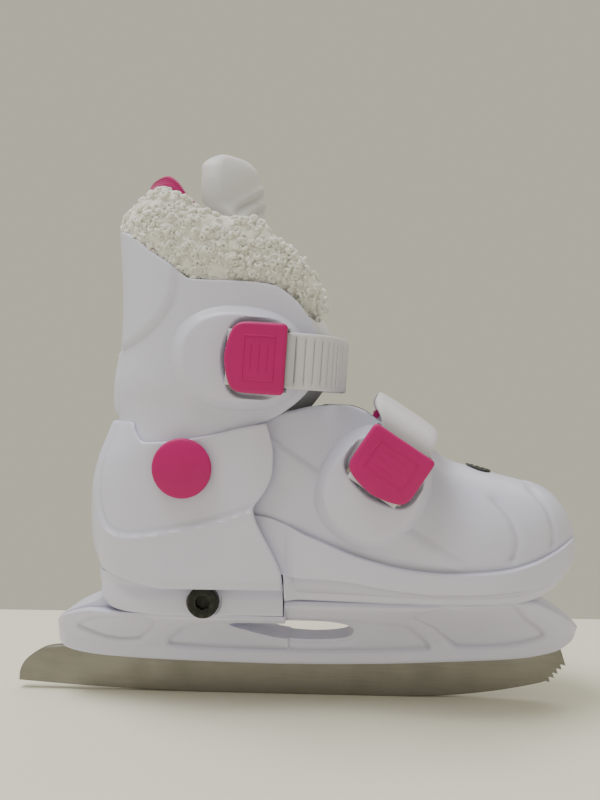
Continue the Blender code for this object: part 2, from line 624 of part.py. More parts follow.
def make_lever(kind, body):
    top = slab([(-12.6, -48.0), (-13.6, -47.0), (-13.4, -45.4), (-12.2, -45.6), (-11.4, -47.5),
                (9.6, -47.8), (10.2, -48.4), (9.4, -49.3), (0.0, -BUCKLE_OUT), (-10.0, -49.2)],
               -LEVER_HALF, LEVER_HALF)
    obj = node(f"{kind}_lever", *seat_solid(kind, top), LOOK["pink"], body)
    for side in (-1, 1):
        w0, w1 = sorted((side * 12.75, side * (LEVER_HALF - 0.02)))
        flange = slab([(-12.0, -48.2), (-11.6, -44.6), (-8.0, -43.2), (7.5, -44.2), (9.3, -45.4),
                       (9.5, -48.4)], w0, w1)
        boolean(obj, cutter(f"{kind}_flange_{side}", *seat_solid(kind, flange), body), "UNION")
    hole = slab(disc(*LEVER_PIN, 1.65), -20, 20)
    boolean(obj, cutter(f"{kind}_lever_bore", *seat_solid(kind, hole), body), "DIFFERENCE")
    for side in (-1, 1):
        w0, w1 = sorted((side * (EAR_IN - GAP), side * (EAR_OUT + 0.25)))
        room = slab(disc(*LEVER_PIN, EAR_EYE + GAP, 22), w0, w1)
        boolean(obj, cutter(f"{kind}_ear_room_{side}", *seat_solid(kind, room), body), "DIFFERENCE")


def make_pawl(kind, body):
    u, y = PAWL_PIN
    outline = [(u - 6.2, y - 0.9), (u - 6.2, y + 0.2), (u - 2.0, y + 1.7), (u + 2.6, y + 1.7),
               (u + 4.2, y + 1.9), (u + 4.6, y + 0.4), (u + 2.4, y - 1.1), (u, y - 1.7),
               (u - 2.2, y - 1.4)]
    obj = node(f"{kind}_pawl", *seat_solid(kind, slab(outline, -10.9, 7.6)), LOOK["steel"], body)
    hole = slab(disc(u, y, 1.3), -20, 20)
    boolean(obj, cutter(f"{kind}_pawl_bore", *seat_solid(kind, hole), body), "DIFFERENCE")


def make_spring(kind, body):
    """Torsion coil on the pawl pin."""
    u, y = PAWL_PIN
    turns, wire, radius = 3, 0.3, 1.65
    rings = []
    for k in range(turns * 8 + 1):
        a = 2 * math.pi * k / 8
        w = 8.2 + k * (2.8 / (turns * 8))
        ring = []
        for m in range(4):
            b = 2 * math.pi * m / 4
            r = radius + wire * math.cos(b)
            ring.append(seat(kind, (u + r * math.cos(a), y + r * math.sin(a), w + wire * math.sin(b))))
        rings.append(ring)
    node(f"{kind}_pawl_spring", *loft(rings), LOOK["steel"], body)


CREST_U = {"ankle": 33.0, "instep": 22.0}


def strap_path(kind, offset, count=21):
    """(u, y) points of a strap's U, offset inwards from its outer face."""
    side, crest = STRAP_SIDE - offset, CREST_U[kind] - offset
    bend = 12.0
    power = 2.6
    points = [(-13.6, -side)]
    for k in range(count):
        a = -math.pi / 2 + math.pi * k / (count - 1)
        u = bend + (crest - bend) * math.cos(a) ** (2 / power)
        points.append((u, side * math.copysign(abs(math.sin(a)) ** (2 / power), a)))
    return points + [(-13.6, side)]


def make_strap(kind, body):
    outer, inner = strap_path(kind, 0.0), strap_path(kind, STRAP_THICK)
    half = STRAP_WIDTH / 2
    rings = []
    for (u0, y0), (u1, y1) in zip(outer, inner):
        ring = [(u0, y0, -half + 0.8), (u0, y0, half - 0.8), (u1, y1, half), (u1, y1, -half)]
        rings.append([seat(kind, p) for p in ring])
    node(f"{kind}_strap", *loft(rings), LOOK["white"], body)


def make_keeper(kind, shell):
    """Pink guide that holds the strap on the inner side of the foot."""
    body = slab([(-8, 38.6), (6, 38.6), (16, 40.0), (17, 44.0), (12, 48.6), (6, BUCKLE_OUT),
                 (-6, BUCKLE_OUT), (-8, 47.5)], -14.6, 14.6)
    obj = node(f"{kind}_strap_clip", *seat_solid(kind, body), LOOK["pink"], shell)
    way = slab([(-30, 40.1), (60, 40.1), (60, 43.5), (-30, 43.5)], -11.4, 11.4)
    boolean(obj, cutter(f"{kind}_clip_way", *seat_solid(kind, way), shell), "DIFFERENCE")
    nose = slab([(8.5, 30), (60, 30), (60, 60), (8.5, 60)], -11.8, 11.8)
    boolean(obj, cutter(f"{kind}_clip_nose", *seat_solid(kind, nose), shell), "DIFFERENCE")
    hole = slab(disc(13.0, 44.6, 1.6), -30, 30)
    boolean(obj, cutter(f"{kind}_clip_hole", *seat_solid(kind, hole), shell), "DIFFERENCE")
    pin = slab(disc(13.0, 44.6, 1.2), -15.2, 15.2)
    node(f"{kind}_clip_pin", *seat_solid(kind, pin), LOOK["steel"], shell)


# ---------------------------------------------------------------- soft parts

COLLAR_LOW = [(-80, 204.0), (-74, 200.6), (-65, 195.8), (-59, 190.2), (-48, 183.0), (-43, 179.2),
              (-27, 176.8), (-6, 174.6), (0, 171.4), (5, 167.3), (10, 162.5), (17, 160.0)]
COLLAR_TOP = [(-80, 207.0), (-68, 212.0), (-58, 217.0), (-48, 214.6), (-40, 209.0), (-30, 205.4),
              (-16, 203.0), (-8, 199.6), (0, 193.4), (9, 185.6), (14, 178.0), (17, 172.0)]
COLLAR_BACK = [(160, -77.0), (190, -77.0), (205, -75.0), (218, -70.0)]
COLLAR_HALF = [(160, 39.0), (176, 39.6), (200, 37.5), (218, 33.0)]
COLLAR_FRONT_X = 16.5
COLLAR_LEAN = 0.62
COLLAR_THICK = 10.5
LINER_LOW = [(-80, 107.0), (-64, 118.0), (-41, 124.0), (-20, 128.0), (0, 132.0), (9, 134.5)]
LINER_FRONT_X = 6.5
LINER_THICK = 4.2
LINER_INSET = 5.2
PINK_LOW = [(-70, 200.0), (-30, 198.0)]
PINK_TOP = [(-66, 217.0), (-60, 224.6), (-52, 226.0), (-46, 222.4), (-40, 214.0), (-32, 205.0)]
TONGUE_FRONT = [(148, 20.0), (165, 12.2), (185, 1.2), (206, -11.4), (217, -12.8), (226, -14.8),
                (231, -19.0), (233.4, -25.5)]
TONGUE_HALF = [(148, 21.5), (165, 20.5), (190, 19.0), (212, 18.0), (226, 15.0), (233.4, 8.5)]
TONGUE_THICK = [(148, 6.5), (185, 8.0), (204, 12.0), (212, 19.0), (226, 19.0), (231, 13.0), (233.4, 4.0)]
TONGUE_SAG = [(148, 0.42), (196, 0.42), (212, 0.74), (227, 0.74), (233.4, 0.5)]
BELLOWS_FRONT = [(104, 53.0), (112, 45.0), (118, 38.0), (124, 31.0), (130, 24.5), (135, 21.5)]
BELLOWS_HALF = [(104, 9.0), (112, 11.0), (118, 12.5), (124, 13.5), (130, 15.0), (135, 16.5)]
BELLOWS_RIBS = 6
BELLOWS_TOP = 127.4            # below the ankle strap's path


def u_grid(front, back, half, lean, low, top, inset, cols=25, rows=5, reach=1.0, fade=0.0):
    """Rows of points over a wall that is a U in plan; low and top are heights along X."""
    grid = []
    for i in range(rows):
        v = i / (rows - 1)
        row = []
        for s in spread(-reach, reach, cols):
            x_here = plan_arc(front, along(back, 160), along(half, 160), s)[0]
            z = along(low, x_here) + v * (along(top, x_here) - along(low, x_here))
            own = inset + fade * v**3
            x, y = plan_arc(front, along(back, z) + own, along(half, z) - own, s, lean)
            row.append((x, y, z))
        grid.append(row)
    return grid


def make_collar(body):
    shape = (COLLAR_FRONT_X, COLLAR_BACK, COLLAR_HALF, COLLAR_LEAN, COLLAR_LOW, COLLAR_TOP)
    outer = u_grid(*shape, 0.0, fade=2.5)
    inner = u_grid(*shape, COLLAR_THICK, fade=-2.0)
    node("fleece_collar", *thin_shell(outer, inner), LOOK["fleece"], body)


def make_ankle_liner(body):
    top = [(x, z - 1.2) for x, z in CUFF_TOP]
    outer = u_grid(LINER_FRONT_X, CUFF_BACK, CUFF_HALF, 0.88, LINER_LOW, top, LINER_INSET)
    inner = u_grid(LINER_FRONT_X, CUFF_BACK, CUFF_HALF, 0.88, LINER_LOW, top, LINER_INSET + LINER_THICK)
    node("ankle_liner", *thin_shell(outer, inner), LOOK["grey"], body)


def make_pink_lining(body):
    back, half = [(190, -65.0), (226, -62.5)], [(190, 26.0), (226, 22.0)]
    outer = u_grid(-31.0, back, half, 1.0, PINK_LOW, PINK_TOP, 0.0, 15, 4)
    inner = u_grid(-31.0, back, half, 1.0, PINK_LOW, PINK_TOP, 2.6, 15, 4)
    node("pink_lining", *thin_shell(outer, inner), LOOK["pink_cloth"], body)


def tongue_ring(front, half, thick, z, count=9, swept=0.42):
    """Crescent section of the tongue at a height, its sides swept back."""
    outer, inner = [], []
    for s in spread(-1, 1, count):
        sag = swept * half * abs(s) ** 2.2
        edge = 1 - 0.55 * abs(s) ** 3
        outer.append((front - sag, half * s, z))
        inner.append((front - sag - thick * edge, half * s * 0.96, z))
    return outer + inner[::-1]


def make_tongue(body):
    heights = [148, 156, 165, 175, 185, 196, 206, 212, 217, 222, 226, 229, 231.6, 233.4]
    rings = []
    for z in heights:
        front, half, thick = (along(knots, z) for knots in (TONGUE_FRONT, TONGUE_HALF, TONGUE_THICK))
        rings.append(tongue_ring(front, half, thick, z, 9, along(TONGUE_SAG, z)))
    node("tongue", *loft(rings), LOOK["white"], body)


def make_bellows(body):
    rings = []
    for k in range(BELLOWS_RIBS * 2 + 1):
        z = 104 + (BELLOWS_TOP - 104) * k / (BELLOWS_RIBS * 2)
        out = 0.0 if k % 2 else 0.9
        front = along(BELLOWS_FRONT, z) + out - 6.0
        rings.append(tongue_ring(front, along(BELLOWS_HALF, z), 4.4 + out, z, 7))
    node("instep_bellows", *loft(rings), LOOK["white"], body)


BOOT_STATIONS = [-56, -40, -20, -4, 4, 16, 28, 40, 50, THROAT_X - 0.3, THROAT_X + 3, 68, 80, 92,
                 102, 110, 114]


def make_inner_boot(body):
    def ring(x, inset):
        own = x - inset * max(0.0, (x - 90) / 26)
        return toe_ring(x, inset, own)

    outer = [ring(x, WALL + 1.5) for x in BOOT_STATIONS]
    inner = [ring(x, WALL + 4.2) for x in BOOT_STATIONS]
    node("inner_boot", *thin_shell(outer, inner, capped=True), LOOK["grey"], body)


def make_insole(body):
    outline = []
    for i in range(24):
        a = 2 * math.pi * i / 24
        x = 18 + 70 * math.cos(a)
        outline.append((x, (along(PLAN, x) - 9.0) * math.copysign(abs(math.sin(a)) ** 0.6, math.sin(a))))
    rings = [[(x, y, z) for x, y in outline] for z in (65.0, 67.6)]
    node("insole", *loft(rings), LOOK["grey"], body)


def make_heel_pad(body):
    low, top = [(-90, 57.2), (-60, 57.2)], [(-90, 96.0), (-60, 84.0)]
    back = [(z, x + WALL + 0.7) for z, x in BACK_X]
    half = [(z, y - WALL - 0.7) for z, y in HEEL_HALF]
    outer = u_grid(-8, back, half, 1.0, low, top, 0.0, 13, 5, 0.33)
    inner = u_grid(-8, back, half, 1.0, low, top, 3.6, 13, 5, 0.33)
    node("heel_pad", *thin_shell(outer, inner), LOOK["grey"], body)


def make_toe_vent(body):
    """Small dark grille let into the top of the toe."""
    rings = []
    for share in (1.0, 0.82):
        ring = []
        for i in range(16):
            a = 2 * math.pi * i / 16
            x, y = 80.0 + 5.2 * share * math.cos(a), 7.5 * share * math.sin(a)
            lift = 0.35 if share == 1.0 else 1.1
            ring.append((x, y, along(TOP_Z, x) + lift - 0.010 * y * y))
        rings.append(ring)
    node("toe_vent", *loft(rings), LOOK["black"], body)


LOOK = {}


def main():
    clear_scene()
    LOOK["white"] = material("white_shell", WHITE, 0.38)
    LOOK["pink"] = material("pink_plastic", PINK, 0.28)
    LOOK["pink_cloth"] = material("pink_cloth", PINK, 0.85)
    LOOK["steel"] = material("steel", STEEL, 0.35, 1.0)
    LOOK["black"] = material("black_metal", BLACK, 0.4, 0.6)
    LOOK["fleece"] = material("fleece", FLEECE, 0.95)
    LOOK["grey"] = material("grey_liner", GREY, 0.9)

    base = empty("base", (0, 0, 0))
    heel = empty("heel", (0, 0, 0), base)
    clamp = empty("clamp", (CLAMP_X, 0, CLAMP_Z), heel)
    cuff = empty("cuff_axis", (PIVOT_X, 0, PIVOT_Z), heel)
    make_blade(base)
    make_chassis(base)
    make_toe_shell(base)
    make_toe_vent(base)
    make_heel_shell(heel)
    make_pivots(heel)
    make_clamp(heel, clamp)
    make_cuff(cuff)
    for kind, shell in (("ankle", cuff), ("instep", base)):
        frame = shell.matrix_world.inverted()
        axes = []
        for name, (u, y) in (("lever", LEVER_PIN), ("pawl", PAWL_PIN)):
            place = frame @ (Vector(seat(kind, (u, y, 0))) * MM)
            axes.append(empty(f"{kind}_{name}_axis", place / MM, shell, -BUCKLE_TILT[kind]))
        make_buckle(kind, shell, *axes)
        place = frame @ (Vector(seat(kind, (0, 0, 0))) * MM)
        make_strap(kind, empty(f"{kind}_strap_axis", place / MM, shell, -BUCKLE_TILT[kind]))
        make_keeper(kind, shell)
    make_collar(cuff)
    make_ankle_liner(cuff)
    make_pink_lining(cuff)
    make_tongue(cuff)
    make_bellows(base)
    make_inner_boot(base)
    make_insole(base)
    make_heel_pad(heel)


main()
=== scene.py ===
"""Looks of a child's adjustable ice skate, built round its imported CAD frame.

Shapes are worked out in millimetres in the frame's own axes: +X to the toe, +Z up, buckles at -Y.
"""
import json
import math

import bmesh
import bpy
import numpy as np
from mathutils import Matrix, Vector, noise


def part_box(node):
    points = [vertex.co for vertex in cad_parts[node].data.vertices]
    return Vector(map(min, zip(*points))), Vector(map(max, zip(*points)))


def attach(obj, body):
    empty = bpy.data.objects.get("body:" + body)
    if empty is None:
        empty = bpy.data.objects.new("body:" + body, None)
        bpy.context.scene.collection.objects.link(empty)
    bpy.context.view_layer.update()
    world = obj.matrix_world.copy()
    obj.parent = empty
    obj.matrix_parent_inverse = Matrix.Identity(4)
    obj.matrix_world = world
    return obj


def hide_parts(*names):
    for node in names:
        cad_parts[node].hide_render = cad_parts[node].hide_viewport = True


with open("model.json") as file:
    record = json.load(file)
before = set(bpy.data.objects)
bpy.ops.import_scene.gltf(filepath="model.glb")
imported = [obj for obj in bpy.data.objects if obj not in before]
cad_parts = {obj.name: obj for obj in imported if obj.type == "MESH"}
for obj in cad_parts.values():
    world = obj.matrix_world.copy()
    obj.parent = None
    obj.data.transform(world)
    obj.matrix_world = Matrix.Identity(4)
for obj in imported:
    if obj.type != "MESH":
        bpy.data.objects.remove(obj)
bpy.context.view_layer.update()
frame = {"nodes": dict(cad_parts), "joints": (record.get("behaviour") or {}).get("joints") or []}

MM = 0.001
WALL = 2.6                     # thickness of the hard shells
CUFF_WALL = 1.8
NEAR, FAR = -1, 1              # sides of the skate along Y


# ---------------------------------------------------------------- places taken from the frame

def middle(node):
    low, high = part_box(node)
    return (low + high) / (2 * MM)


JOINTS = {joint["name"]: joint for joint in frame["joints"]}
PIVOT = middle("pivot_cap_outer")
CLAMP = middle("size_clamp_screw")
LEVER_PIN_U = 7.5              # lever pin's place along the strap, from the buckle's middle


class Seat:
    """Frame of one buckle: u along the strap, w across it, y across the skate."""

    def __init__(self, kind):
        joint = JOINTS[f"{kind}_lever_turn"]
        ax, _, az = joint["axis"]
        self.along = np.array([az, -ax])
        self.across = np.array([ax, az])
        pin = np.array([joint["pos_m"][0], joint["pos_m"][2]]) / MM
        self.place = pin - LEVER_PIN_U * self.along

    def world(self, u, y, w):
        flat = self.place + np.multiply.outer(u, self.along) + np.multiply.outer(w, self.across)
        return np.stack([flat[..., 0], np.broadcast_to(y, flat.shape[:-1]), flat[..., 1]], -1)

    def local(self, x, z):
        flat = np.stack([x, z], -1) - self.place
        return flat @ self.along, flat @ self.across


SEATS = {"ankle": Seat("ankle"), "instep": Seat("instep")}


# ---------------------------------------------------------------- curves and surfaces

def curve(knots, soft=5.0, step=0.25):
    """Smooth function through (x, value) knots: a monotone cubic averaged over `soft` mm."""
    kx, kv = np.array(knots, float).T
    slope = np.diff(kv) / np.diff(kx)
    product = slope[:-1] * slope[1:]
    total = np.where(product > 0, slope[:-1] + slope[1:], 1.0)
    inner = np.where(product > 0, 2 * product / total, 0.0)
    tangent = np.concatenate([slope[:1], inner, slope[-1:]])
    xs = np.arange(kx[0], kx[-1] + step, step)
    k = np.clip(np.searchsorted(kx, xs, side="right") - 1, 0, len(kx) - 2)
    span = kx[k + 1] - kx[k]
    t = np.clip((xs - kx[k]) / span, 0, 1)
    values = (kv[k] * (2 * t**3 - 3 * t**2 + 1) + kv[k + 1] * (3 * t**2 - 2 * t**3)
              + span * (tangent[k] * (t**3 - 2 * t**2 + t) + tangent[k + 1] * (t**3 - t**2)))
    reach = int(soft / step / 2)
    if reach:
        window = np.hanning(2 * reach + 3)[1:-1]
        padded = np.pad(values, reach, mode="reflect", reflect_type="odd")
        values = np.convolve(padded, window / window.sum(), mode="valid")
    return lambda x: np.interp(x, xs, values)


def step_up(value, low, high):
    """0 below low, 1 above high, and a smooth ramp between."""
    t = np.clip((np.asarray(value, float) - low) / (high - low), 0, 1)
    return t * t * (3 - 2 * t)


def rounded(points, steps=8, closed=False):
    """Smooth line through a few (x, z) points."""
    p = np.array(points, float)
    before = np.roll(p, 1, 0) if closed else np.vstack([2 * p[:1] - p[1:2], p[:-1]])
    after = np.roll(p, -1, 0) if closed else np.vstack([p[1:], 2 * p[-1:] - p[-2:-1]])
    beyond = np.roll(after, -1, 0) if closed else np.vstack([after[1:], after[-1:]])
    t = (np.arange(steps) / steps)[None, :, None]
    a, b, c, d = before[:, None], p[:, None], after[:, None], beyond[:, None]
    line = 0.5 * (2 * b + (c - a) * t + (2 * a - 5 * b + 4 * c - d) * t**2 + (3 * b - a - 3 * c + d) * t**3)
    line = line.reshape(-1, p.shape[1])
    return line if closed else np.vstack([line[:1 - steps], p[-1:]]) if steps > 1 else line


def from_line(line, x, z):
    """Distance to a line, positive on its left, and how far along it the nearest point is, 0 to 1."""
    best = np.full(np.shape(x), 1e9)
    sign = np.ones(np.shape(x))
    share = np.zeros(np.shape(x))
    for i, (p, q) in enumerate(zip(line[:-1], line[1:])):
        dx, dz = q - p
        length = dx * dx + dz * dz + 1e-12
        t = np.clip(((x - p[0]) * dx + (z - p[1]) * dz) / length, 0, 1)
        ox, oz = x - p[0] - t * dx, z - p[1] - t * dz
        gap = np.hypot(ox, oz)
        nearer = gap < best
        best = np.where(nearer, gap, best)
        sign = np.where(nearer, np.sign(dx * oz - dz * ox + 1e-12), sign)
        share = np.where(nearer, (i + t) / (len(line) - 1), share)
    return best * sign, share


def inside(outline, x, z):
    """Distance to a closed outline, positive inside it."""
    ring = np.vstack([outline, outline[:1]])
    gap = np.abs(from_line(ring, x, z)[0])
    crossings = np.zeros(np.shape(x), int)
    for (x0, z0), (x1, z1) in zip(ring[:-1], ring[1:]):
        if z0 != z1:
            hit = ((z0 > z) != (z1 > z)) & (x < x0 + (z - z0) * (x1 - x0) / (z1 - z0))
            crossings += hit
    return np.where(crossings % 2 == 1, gap, -gap)


def grid_normals(grid):
    """Unit normals of a (rows, columns, 3) grid."""
    normal = np.cross(np.gradient(grid, axis=0), np.gradient(grid, axis=1))
    return normal / np.maximum(np.linalg.norm(normal, axis=2, keepdims=True), 1e-9)


def quads(rows, cols, start=0, flip=False):
    i, j = np.meshgrid(np.arange(rows - 1), np.arange(cols - 1), indexing="ij")
    a = start + i * cols + j
    faces = np.stack([a, a + cols, a + cols + 1, a + 1], -1).reshape(-1, 4)
    return faces[:, ::-1] if flip else faces


def two_skins(outer, inner):
    """Closed wall between two grids of the same size."""
    rows, cols = outer.shape[:2]
    half = rows * cols
    points = np.concatenate([outer.reshape(-1, 3), inner.reshape(-1, 3)])
    index = np.arange(half).reshape(rows, cols)
    faces = [quads(rows, cols), quads(rows, cols, half, True)]
    for edge in (index[0], index[-1][::-1], index[::-1, 0], index[:, -1]):
        a, b = edge[:-1], edge[1:]
        faces.append(np.stack([a, b, b + half, a + half], -1))
    return points, np.concatenate(faces)


def rings_solid(rings, capped=True):
    """Solid through closed rings (count, n, 3); its ends are closed by one face each."""
    rings = np.asarray(rings, float)
    count, n = rings.shape[:2]
    i, j = np.meshgrid(np.arange(count - 1), np.arange(n), indexing="ij")
    k = (j + 1) % n
    faces = np.stack([i * n + j, (i + 1) * n + j, (i + 1) * n + k, i * n + k], -1).reshape(-1, 4).tolist()
    if capped:
        faces += [list(range(n)), list(range((count - 1) * n, count * n))[::-1]]
    return rings.reshape(-1, 3), faces


def edge_spaced(count, length, offsets=(0.0, 0.12, 0.4, 0.85, 1.4)):
    """Shares from 0 to 1 that crowd near both ends, where a wall's lip is rounded."""
    near_end = np.array(offsets) / length
    between = np.linspace(near_end[-1], 1 - near_end[-1], count)
    return np.concatenate([near_end[:-1], between, 1 - near_end[:-1][::-1]])


def lip(distance, wall):
    """How far a wall's skins draw in towards each other near a free edge, for a half-round lip."""
    radius = wall / 2
    left = 1 - np.clip(distance / radius, 0, 1)
    return radius * (1 - np.sqrt(np.maximum(1 - left**2, 0)))


# ---------------------------------------------------------------- pieces

def piece(name, points, faces, look, body, slot, replaces=(), sharp=40.0):
    mesh = bpy.data.meshes.new(name)
    faces = faces.tolist() if isinstance(faces, np.ndarray) else faces
    mesh.from_pydata((np.asarray(points) * MM).tolist(), [], faces)
    work = bmesh.new()
    work.from_mesh(mesh)
    bmesh.ops.remove_doubles(work, verts=work.verts, dist=2e-6)
    bmesh.ops.dissolve_degenerate(work, edges=work.edges, dist=1e-6)
    bmesh.ops.recalc_face_normals(work, faces=work.faces)
    work.to_mesh(mesh)
    work.free()
    mesh.shade_smooth()
    mesh.set_sharp_from_angle(angle=math.radians(sharp))
    mesh.materials.append(look)
    obj = bpy.data.objects.new(name, mesh)
    bpy.context.scene.collection.objects.link(obj)
    if replaces:
        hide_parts(*replaces)
    if body:
        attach(obj, body)
    return obj


def joined(shapes):
    """Points and faces of several shapes as one."""
    points, faces, start = [], [], 0
    for own_points, own_faces in shapes:
        own_faces = own_faces.tolist() if isinstance(own_faces, np.ndarray) else own_faces
        points.append(np.asarray(own_points, float))
        faces += [[index + start for index in face] for face in own_faces]
        start += len(own_points)
    return np.concatenate(points), faces


def apply_modifiers(obj):
    graph = bpy.context.evaluated_depsgraph_get()
    made = bpy.data.meshes.new_from_object(obj.evaluated_get(graph))
    obj.modifiers.clear()
    obj.data = made


def cut_away(obj, points, faces):
    """Subtracts a shape from a piece."""
    tool = piece(obj.name + "_tool", points, faces, obj.data.materials[0], None, None)
    cut = obj.modifiers.new("cut", "BOOLEAN")
    cut.operation = "DIFFERENCE"
    cut.solver = "EXACT"
    cut.object = tool
    apply_modifiers(obj)
    bpy.data.objects.remove(tool)


def soften(obj, width, segments=2, angle=35.0):
    """Rounds a piece's hard edges."""
    weld = obj.modifiers.new("weld", "WELD")
    weld.merge_threshold = 1e-5
    edge = obj.modifiers.new("edge", "BEVEL")
    edge.width = width * MM
    edge.segments = segments
    edge.limit_method = "ANGLE"
    edge.angle_limit = math.radians(angle)
    edge.harden_normals = True


def tube(path, radius, sides=8, closed=False):
    """Round tube along points; radius is one number or one for each point."""
    path = np.asarray(path, float)
    if closed:
        ahead = np.roll(path, -1, 0) - np.roll(path, 1, 0)
    else:
        ahead = np.gradient(path, axis=0)
    ahead /= np.linalg.norm(ahead, axis=1, keepdims=True)
    helper = np.array([0.13, 0.98, 0.17])
    side = np.cross(ahead, helper)
    side /= np.linalg.norm(side, axis=1, keepdims=True)
    up = np.cross(side, ahead)
    angle = np.arange(sides) * 2 * np.pi / sides
    radius = np.broadcast_to(radius, len(path))[:, None, None]
    rings = path[:, None] + radius * (side[:, None] * np.cos(angle)[:, None] + up[:, None] * np.sin(angle)[:, None])
    if closed:
        rings = np.concatenate([rings, rings[:1]])
    return rings_solid(rings, capped=not closed)


def turned(profile, x, z, count=72, hexes=()):
    """Solid turned about an axis along Y; profile lists (radius, y); the rings in hexes are hexagons."""
    angle = np.arange(count) * 2 * np.pi / count
    corner = np.cos((angle + np.pi / 6) % (np.pi / 3) - np.pi / 6)
    rings = []
    for k, (radius, y) in enumerate(profile):
        reach = radius / corner if k in hexes else radius
        rings.append(np.stack([x + reach * np.cos(angle), np.full(count, y), z + reach * np.sin(angle)], -1))
    return rings_solid(rings)


def arc_profile(radius, y, bend, start, end, steps=6):
    """(radius, y) points of a rounded corner about (radius, y), angles in degrees."""
    angles = np.radians(np.linspace(start, end, steps))
    return [(radius + bend * math.cos(a), y + bend * math.sin(a)) for a in angles]


# ---------------------------------------------------------------- materials

class Look:
    """A procedural material, built node by node."""

    def __init__(self, name, colour, roughness, metallic=0.0, **constants):
        self.material = bpy.data.materials.new(name)
        self.material.use_nodes = True
        self.tree = self.material.node_tree
        self.shader = self.tree.nodes["Principled BSDF"]
        self.colour = colour
        self.shader.inputs["Metallic"].default_value = metallic
        self.shader.inputs["Roughness"].default_value = roughness
        for socket, value in constants.items():
            self.shader.inputs[socket.replace("_", " ")].default_value = value
        self.place = self.tree.nodes.new("ShaderNodeTexCoord").outputs["Object"]
        self.bumps = None

    def link(self, source, target):
        self.tree.links.new(source, target)

    def stretched(self, scale):
        node = self.tree.nodes.new("ShaderNodeMapping")
        node.inputs["Scale"].default_value = scale
        self.link(self.place, node.inputs["Vector"])
        return node.outputs["Vector"]

    def noise(self, scale, detail=3.0, rough=0.5, stretch=None, distortion=0.0):
        """Noise with features of about 1 / scale metres."""
        node = self.tree.nodes.new("ShaderNodeTexNoise")
        node.inputs["Scale"].default_value = scale
        node.inputs["Detail"].default_value = detail
        node.inputs["Roughness"].default_value = rough
        node.inputs["Distortion"].default_value = distortion
        self.link(self.stretched(stretch) if stretch else self.place, node.inputs["Vector"])
        return node.outputs["Fac"]

    def cells(self, scale, feature="F1", stretch=None):
        node = self.tree.nodes.new("ShaderNodeTexVoronoi")
        node.feature = feature
        node.inputs["Scale"].default_value = scale
        self.link(self.stretched(stretch) if stretch else self.place, node.inputs["Vector"])
        return node.outputs["Distance"]

    def wave(self, scale, direction, distortion=0.0, stretch=None):
        node = self.tree.nodes.new("ShaderNodeTexWave")
        node.bands_direction = direction
        node.inputs["Scale"].default_value = scale
        node.inputs["Distortion"].default_value = distortion
        node.inputs["Detail Scale"].default_value = 2.0
        self.link(self.stretched(stretch) if stretch else self.place, node.inputs["Vector"])
        return node.outputs["Fac"]

    def pointiness(self):
        return self.tree.nodes.new("ShaderNodeNewGeometry").outputs["Pointiness"]

    def ramp(self, value, low, high, out_low=0.0, out_high=1.0):
        node = self.tree.nodes.new("ShaderNodeMapRange")
        for socket, number in (("From Min", low), ("From Max", high), ("To Min", out_low), ("To Max", out_high)):
            node.inputs[socket].default_value = number
        self.link(value, node.inputs["Value"])
        return node.outputs["Result"]

    def maths(self, operation, a, b):
        node = self.tree.nodes.new("ShaderNodeMath")
        node.operation = operation
        for socket, value in zip(node.inputs, (a, b)):
            if isinstance(value, (int, float)):
                socket.default_value = value
            else:
                self.link(value, socket)
        return node.outputs["Value"]

    def mix(self, share, other):
        """Shifts the colour towards another where share is high. Calls add up."""
        node = self.tree.nodes.new("ShaderNodeMix")
        node.data_type = "RGBA"
        if isinstance(self.colour, tuple):
            node.inputs["A"].default_value = (*self.colour, 1.0)
        else:
            self.link(self.colour, node.inputs["A"])
        node.inputs["B"].default_value = (*other, 1.0)
        self.link(share, node.inputs["Factor"])
        self.colour = node.outputs["Result"]

    def bump(self, height, distance, strength=1.0):
        """Bump of a real height in mm. Calls add up."""
        node = self.tree.nodes.new("ShaderNodeBump")
        node.inputs["Distance"].default_value = distance * MM
        node.inputs["Strength"].default_value = strength
        self.link(height, node.inputs["Height"])
        if self.bumps:
            self.link(self.bumps, node.inputs["Normal"])
        self.bumps = node.outputs["Normal"]

    def roughness(self, value):
        self.link(value, self.shader.inputs["Roughness"])

    def done(self):
        if isinstance(self.colour, tuple):
            self.shader.inputs["Base Color"].default_value = (*self.colour, 1.0)
        else:
            self.link(self.colour, self.shader.inputs["Base Color"])
        if self.bumps:
            self.link(self.bumps, self.shader.inputs["Normal"])
        return self.material


def moulded(name, colour, tint, hollow_shade, roughness, grain, coat=0.0):
    """Moulded plastic: slow tint changes, fine moulding grain, faint scuffs, painted shade in the hollows."""
    look = Look(name, colour, roughness, Coat_Weight=coat, Coat_Roughness=0.12, IOR=1.47)
    look.mix(look.ramp(look.noise(38, 3), 0.38, 0.72, 0.0, 0.6), tint)
    # Painted shade: concave places are darkened towards a darker copy of the plastic's own colour.
    look.mix(look.ramp(look.pointiness(), 0.497, 0.455, 0.0, 0.75), hollow_shade)
    scuffs = look.ramp(look.noise(700, 2, 0.6, (1.0, 1.0, 9.0), 1.2), 0.66, 0.78, 0.0, 1.0)
    fine = look.noise(2600, 2)
    slow = look.ramp(look.noise(150, 4), 0.3, 0.7, roughness - 0.05, roughness + 0.07)
    look.roughness(look.maths("ADD", slow, look.maths("MULTIPLY", scuffs, 0.1)))
    look.bump(look.noise(60, 2), 0.05, 0.6)
    look.bump(fine, grain, 0.7)
    look.bump(scuffs, 0.01, 0.4)
    return look.done()


